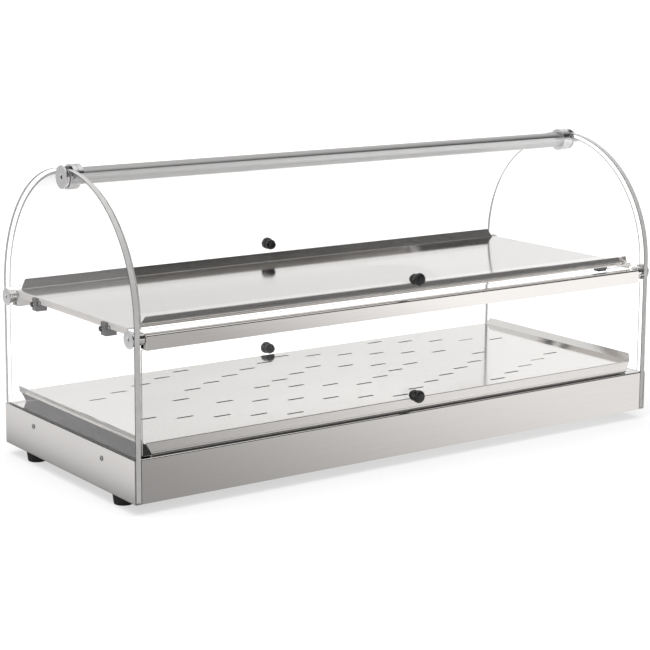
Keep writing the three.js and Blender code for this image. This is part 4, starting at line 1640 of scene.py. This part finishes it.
class CASE_OT_mains_switch(bpy.types.Operator):
    """Mould the switch housing and its rocker"""

    bl_idname = "display_case.mains_switch"
    bl_label = "Mains switch"

    def execute(self, context):
        make_switch()
        return {"FINISHED"}


class CASE_OT_pilot_lamp(bpy.types.Operator):
    """Mould the amber pilot lamp"""

    bl_idname = "display_case.pilot_lamp"
    bl_label = "Pilot lamp"

    def execute(self, context):
        make_pilot_lamp()
        return {"FINISHED"}


class CASE_OT_cable_gland(bpy.types.Operator):
    """Mould the gland of the supply cord"""

    bl_idname = "display_case.cable_gland"
    bl_label = "Cable gland"

    def execute(self, context):
        make_cable_gland()
        return {"FINISHED"}


class CASE_OT_inner_pieces(bpy.types.Operator):
    """Finish the pan, heater, board, thermostat body and terminals"""

    bl_idname = "display_case.inner_pieces"
    bl_label = "Inner pieces"

    def execute(self, context):
        finish_inner_pieces()
        return {"FINISHED"}


class CASE_OT_side_panels(bpy.types.Operator):
    """Cut and polish the arched acrylic side panels"""

    bl_idname = "display_case.side_panels"
    bl_label = "Side panels"

    def execute(self, context):
        make_side_panels()
        return {"FINISHED"}


class CASE_OT_upper_doors(bpy.types.Operator):
    """Form the two curved upper doors"""

    bl_idname = "display_case.upper_doors"
    bl_label = "Upper doors"

    def execute(self, context):
        make_upper_doors()
        return {"FINISHED"}


class CASE_OT_lower_flaps(bpy.types.Operator):
    """Cut the two flat lower flaps"""

    bl_idname = "display_case.lower_flaps"
    bl_label = "Lower flaps"

    def execute(self, context):
        make_lower_flaps()
        return {"FINISHED"}


class CASE_OT_door_knobs(bpy.types.Operator):
    """Mould the knobs of the doors and flaps"""

    bl_idname = "display_case.door_knobs"
    bl_label = "Door knobs"

    def execute(self, context):
        make_knobs()
        return {"FINISHED"}


class CASE_OT_top_tube(bpy.types.Operator):
    """Draw the tube that the doors hang on"""

    bl_idname = "display_case.top_tube"
    bl_label = "Top tube"

    def execute(self, context):
        make_top_tube()
        return {"FINISHED"}


class CASE_OT_top_bushes(bpy.types.Operator):
    """Mould the bushes that carry the tube's ends"""

    bl_idname = "display_case.top_bushes"
    bl_label = "Top bushes"

    def execute(self, context):
        make_top_bushes()
        return {"FINISHED"}


class CASE_OT_caps(bpy.types.Operator):
    """Turn the caps at the ends of the tube and the hubs"""

    bl_idname = "display_case.caps"
    bl_label = "Caps"

    def execute(self, context):
        make_caps()
        return {"FINISHED"}


class CASE_OT_collars(bpy.types.Operator):
    """Turn the collars that the upper doors swing on"""

    bl_idname = "display_case.collars"
    bl_label = "Collars"

    def execute(self, context):
        make_collars()
        return {"FINISHED"}


class CASE_OT_mid_rails(bpy.types.Operator):
    """Draw the rails that the lower flaps hang on"""

    bl_idname = "display_case.mid_rails"
    bl_label = "Mid rails"

    def execute(self, context):
        make_mid_rails()
        return {"FINISHED"}


class CASE_OT_pivot_hubs(bpy.types.Operator):
    """Turn the hubs that carry the mid rails"""

    bl_idname = "display_case.pivot_hubs"
    bl_label = "Pivot hubs"

    def execute(self, context):
        make_pivot_hubs()
        return {"FINISHED"}


class CASE_OT_trays(bpy.types.Operator):
    """Fold the plain upper tray and the slotted lower tray"""

    bl_idname = "display_case.trays"
    bl_label = "Trays"

    def execute(self, context):
        make_trays()
        return {"FINISHED"}


class CASE_OT_tray_brackets(bpy.types.Operator):
    """Mould the brackets under the upper tray"""

    bl_idname = "display_case.tray_brackets"
    bl_label = "Tray brackets"

    def execute(self, context):
        make_tray_brackets()
        return {"FINISHED"}


STEPS = (
    CASE_OT_stage, CASE_OT_base_casing, CASE_OT_side_plates, CASE_OT_plate_screws, CASE_OT_feet,
    CASE_OT_thermostat_knob, CASE_OT_mains_switch, CASE_OT_pilot_lamp, CASE_OT_cable_gland,
    CASE_OT_inner_pieces, CASE_OT_side_panels, CASE_OT_upper_doors, CASE_OT_lower_flaps,
    CASE_OT_door_knobs, CASE_OT_top_tube, CASE_OT_top_bushes, CASE_OT_caps, CASE_OT_collars,
    CASE_OT_mid_rails, CASE_OT_pivot_hubs, CASE_OT_trays, CASE_OT_tray_brackets,
)


class CASE_PT_sidebar(bpy.types.Panel):
    bl_label = "Display case"
    bl_idname = "CASE_PT_sidebar"
    bl_space_type = "VIEW_3D"
    bl_region_type = "UI"
    bl_category = "Display case"

    def draw(self, context):
        for settings in (context.scene.case_sizes, context.scene.case_palette):
            box = self.layout.box()
            for name in settings.__annotations__:
                box.prop(settings, name)
        for step in STEPS:
            self.layout.operator(step.bl_idname)


CLASSES = (CaseSizes, CasePalette, *STEPS, CASE_PT_sidebar)


def register():
    for cls in CLASSES:
        bpy.utils.register_class(cls)
    bpy.types.Scene.case_sizes = PointerProperty(type=CaseSizes)
    bpy.types.Scene.case_palette = PointerProperty(type=CasePalette)


def unregister():
    del bpy.types.Scene.case_palette
    del bpy.types.Scene.case_sizes
    for cls in reversed(CLASSES):
        bpy.utils.unregister_class(cls)


def main():
    register()
    for step in STEPS:
        group, name = step.bl_idname.split(".")
        getattr(getattr(bpy.ops, group), name)()


if __name__ == "__main__":
    main()
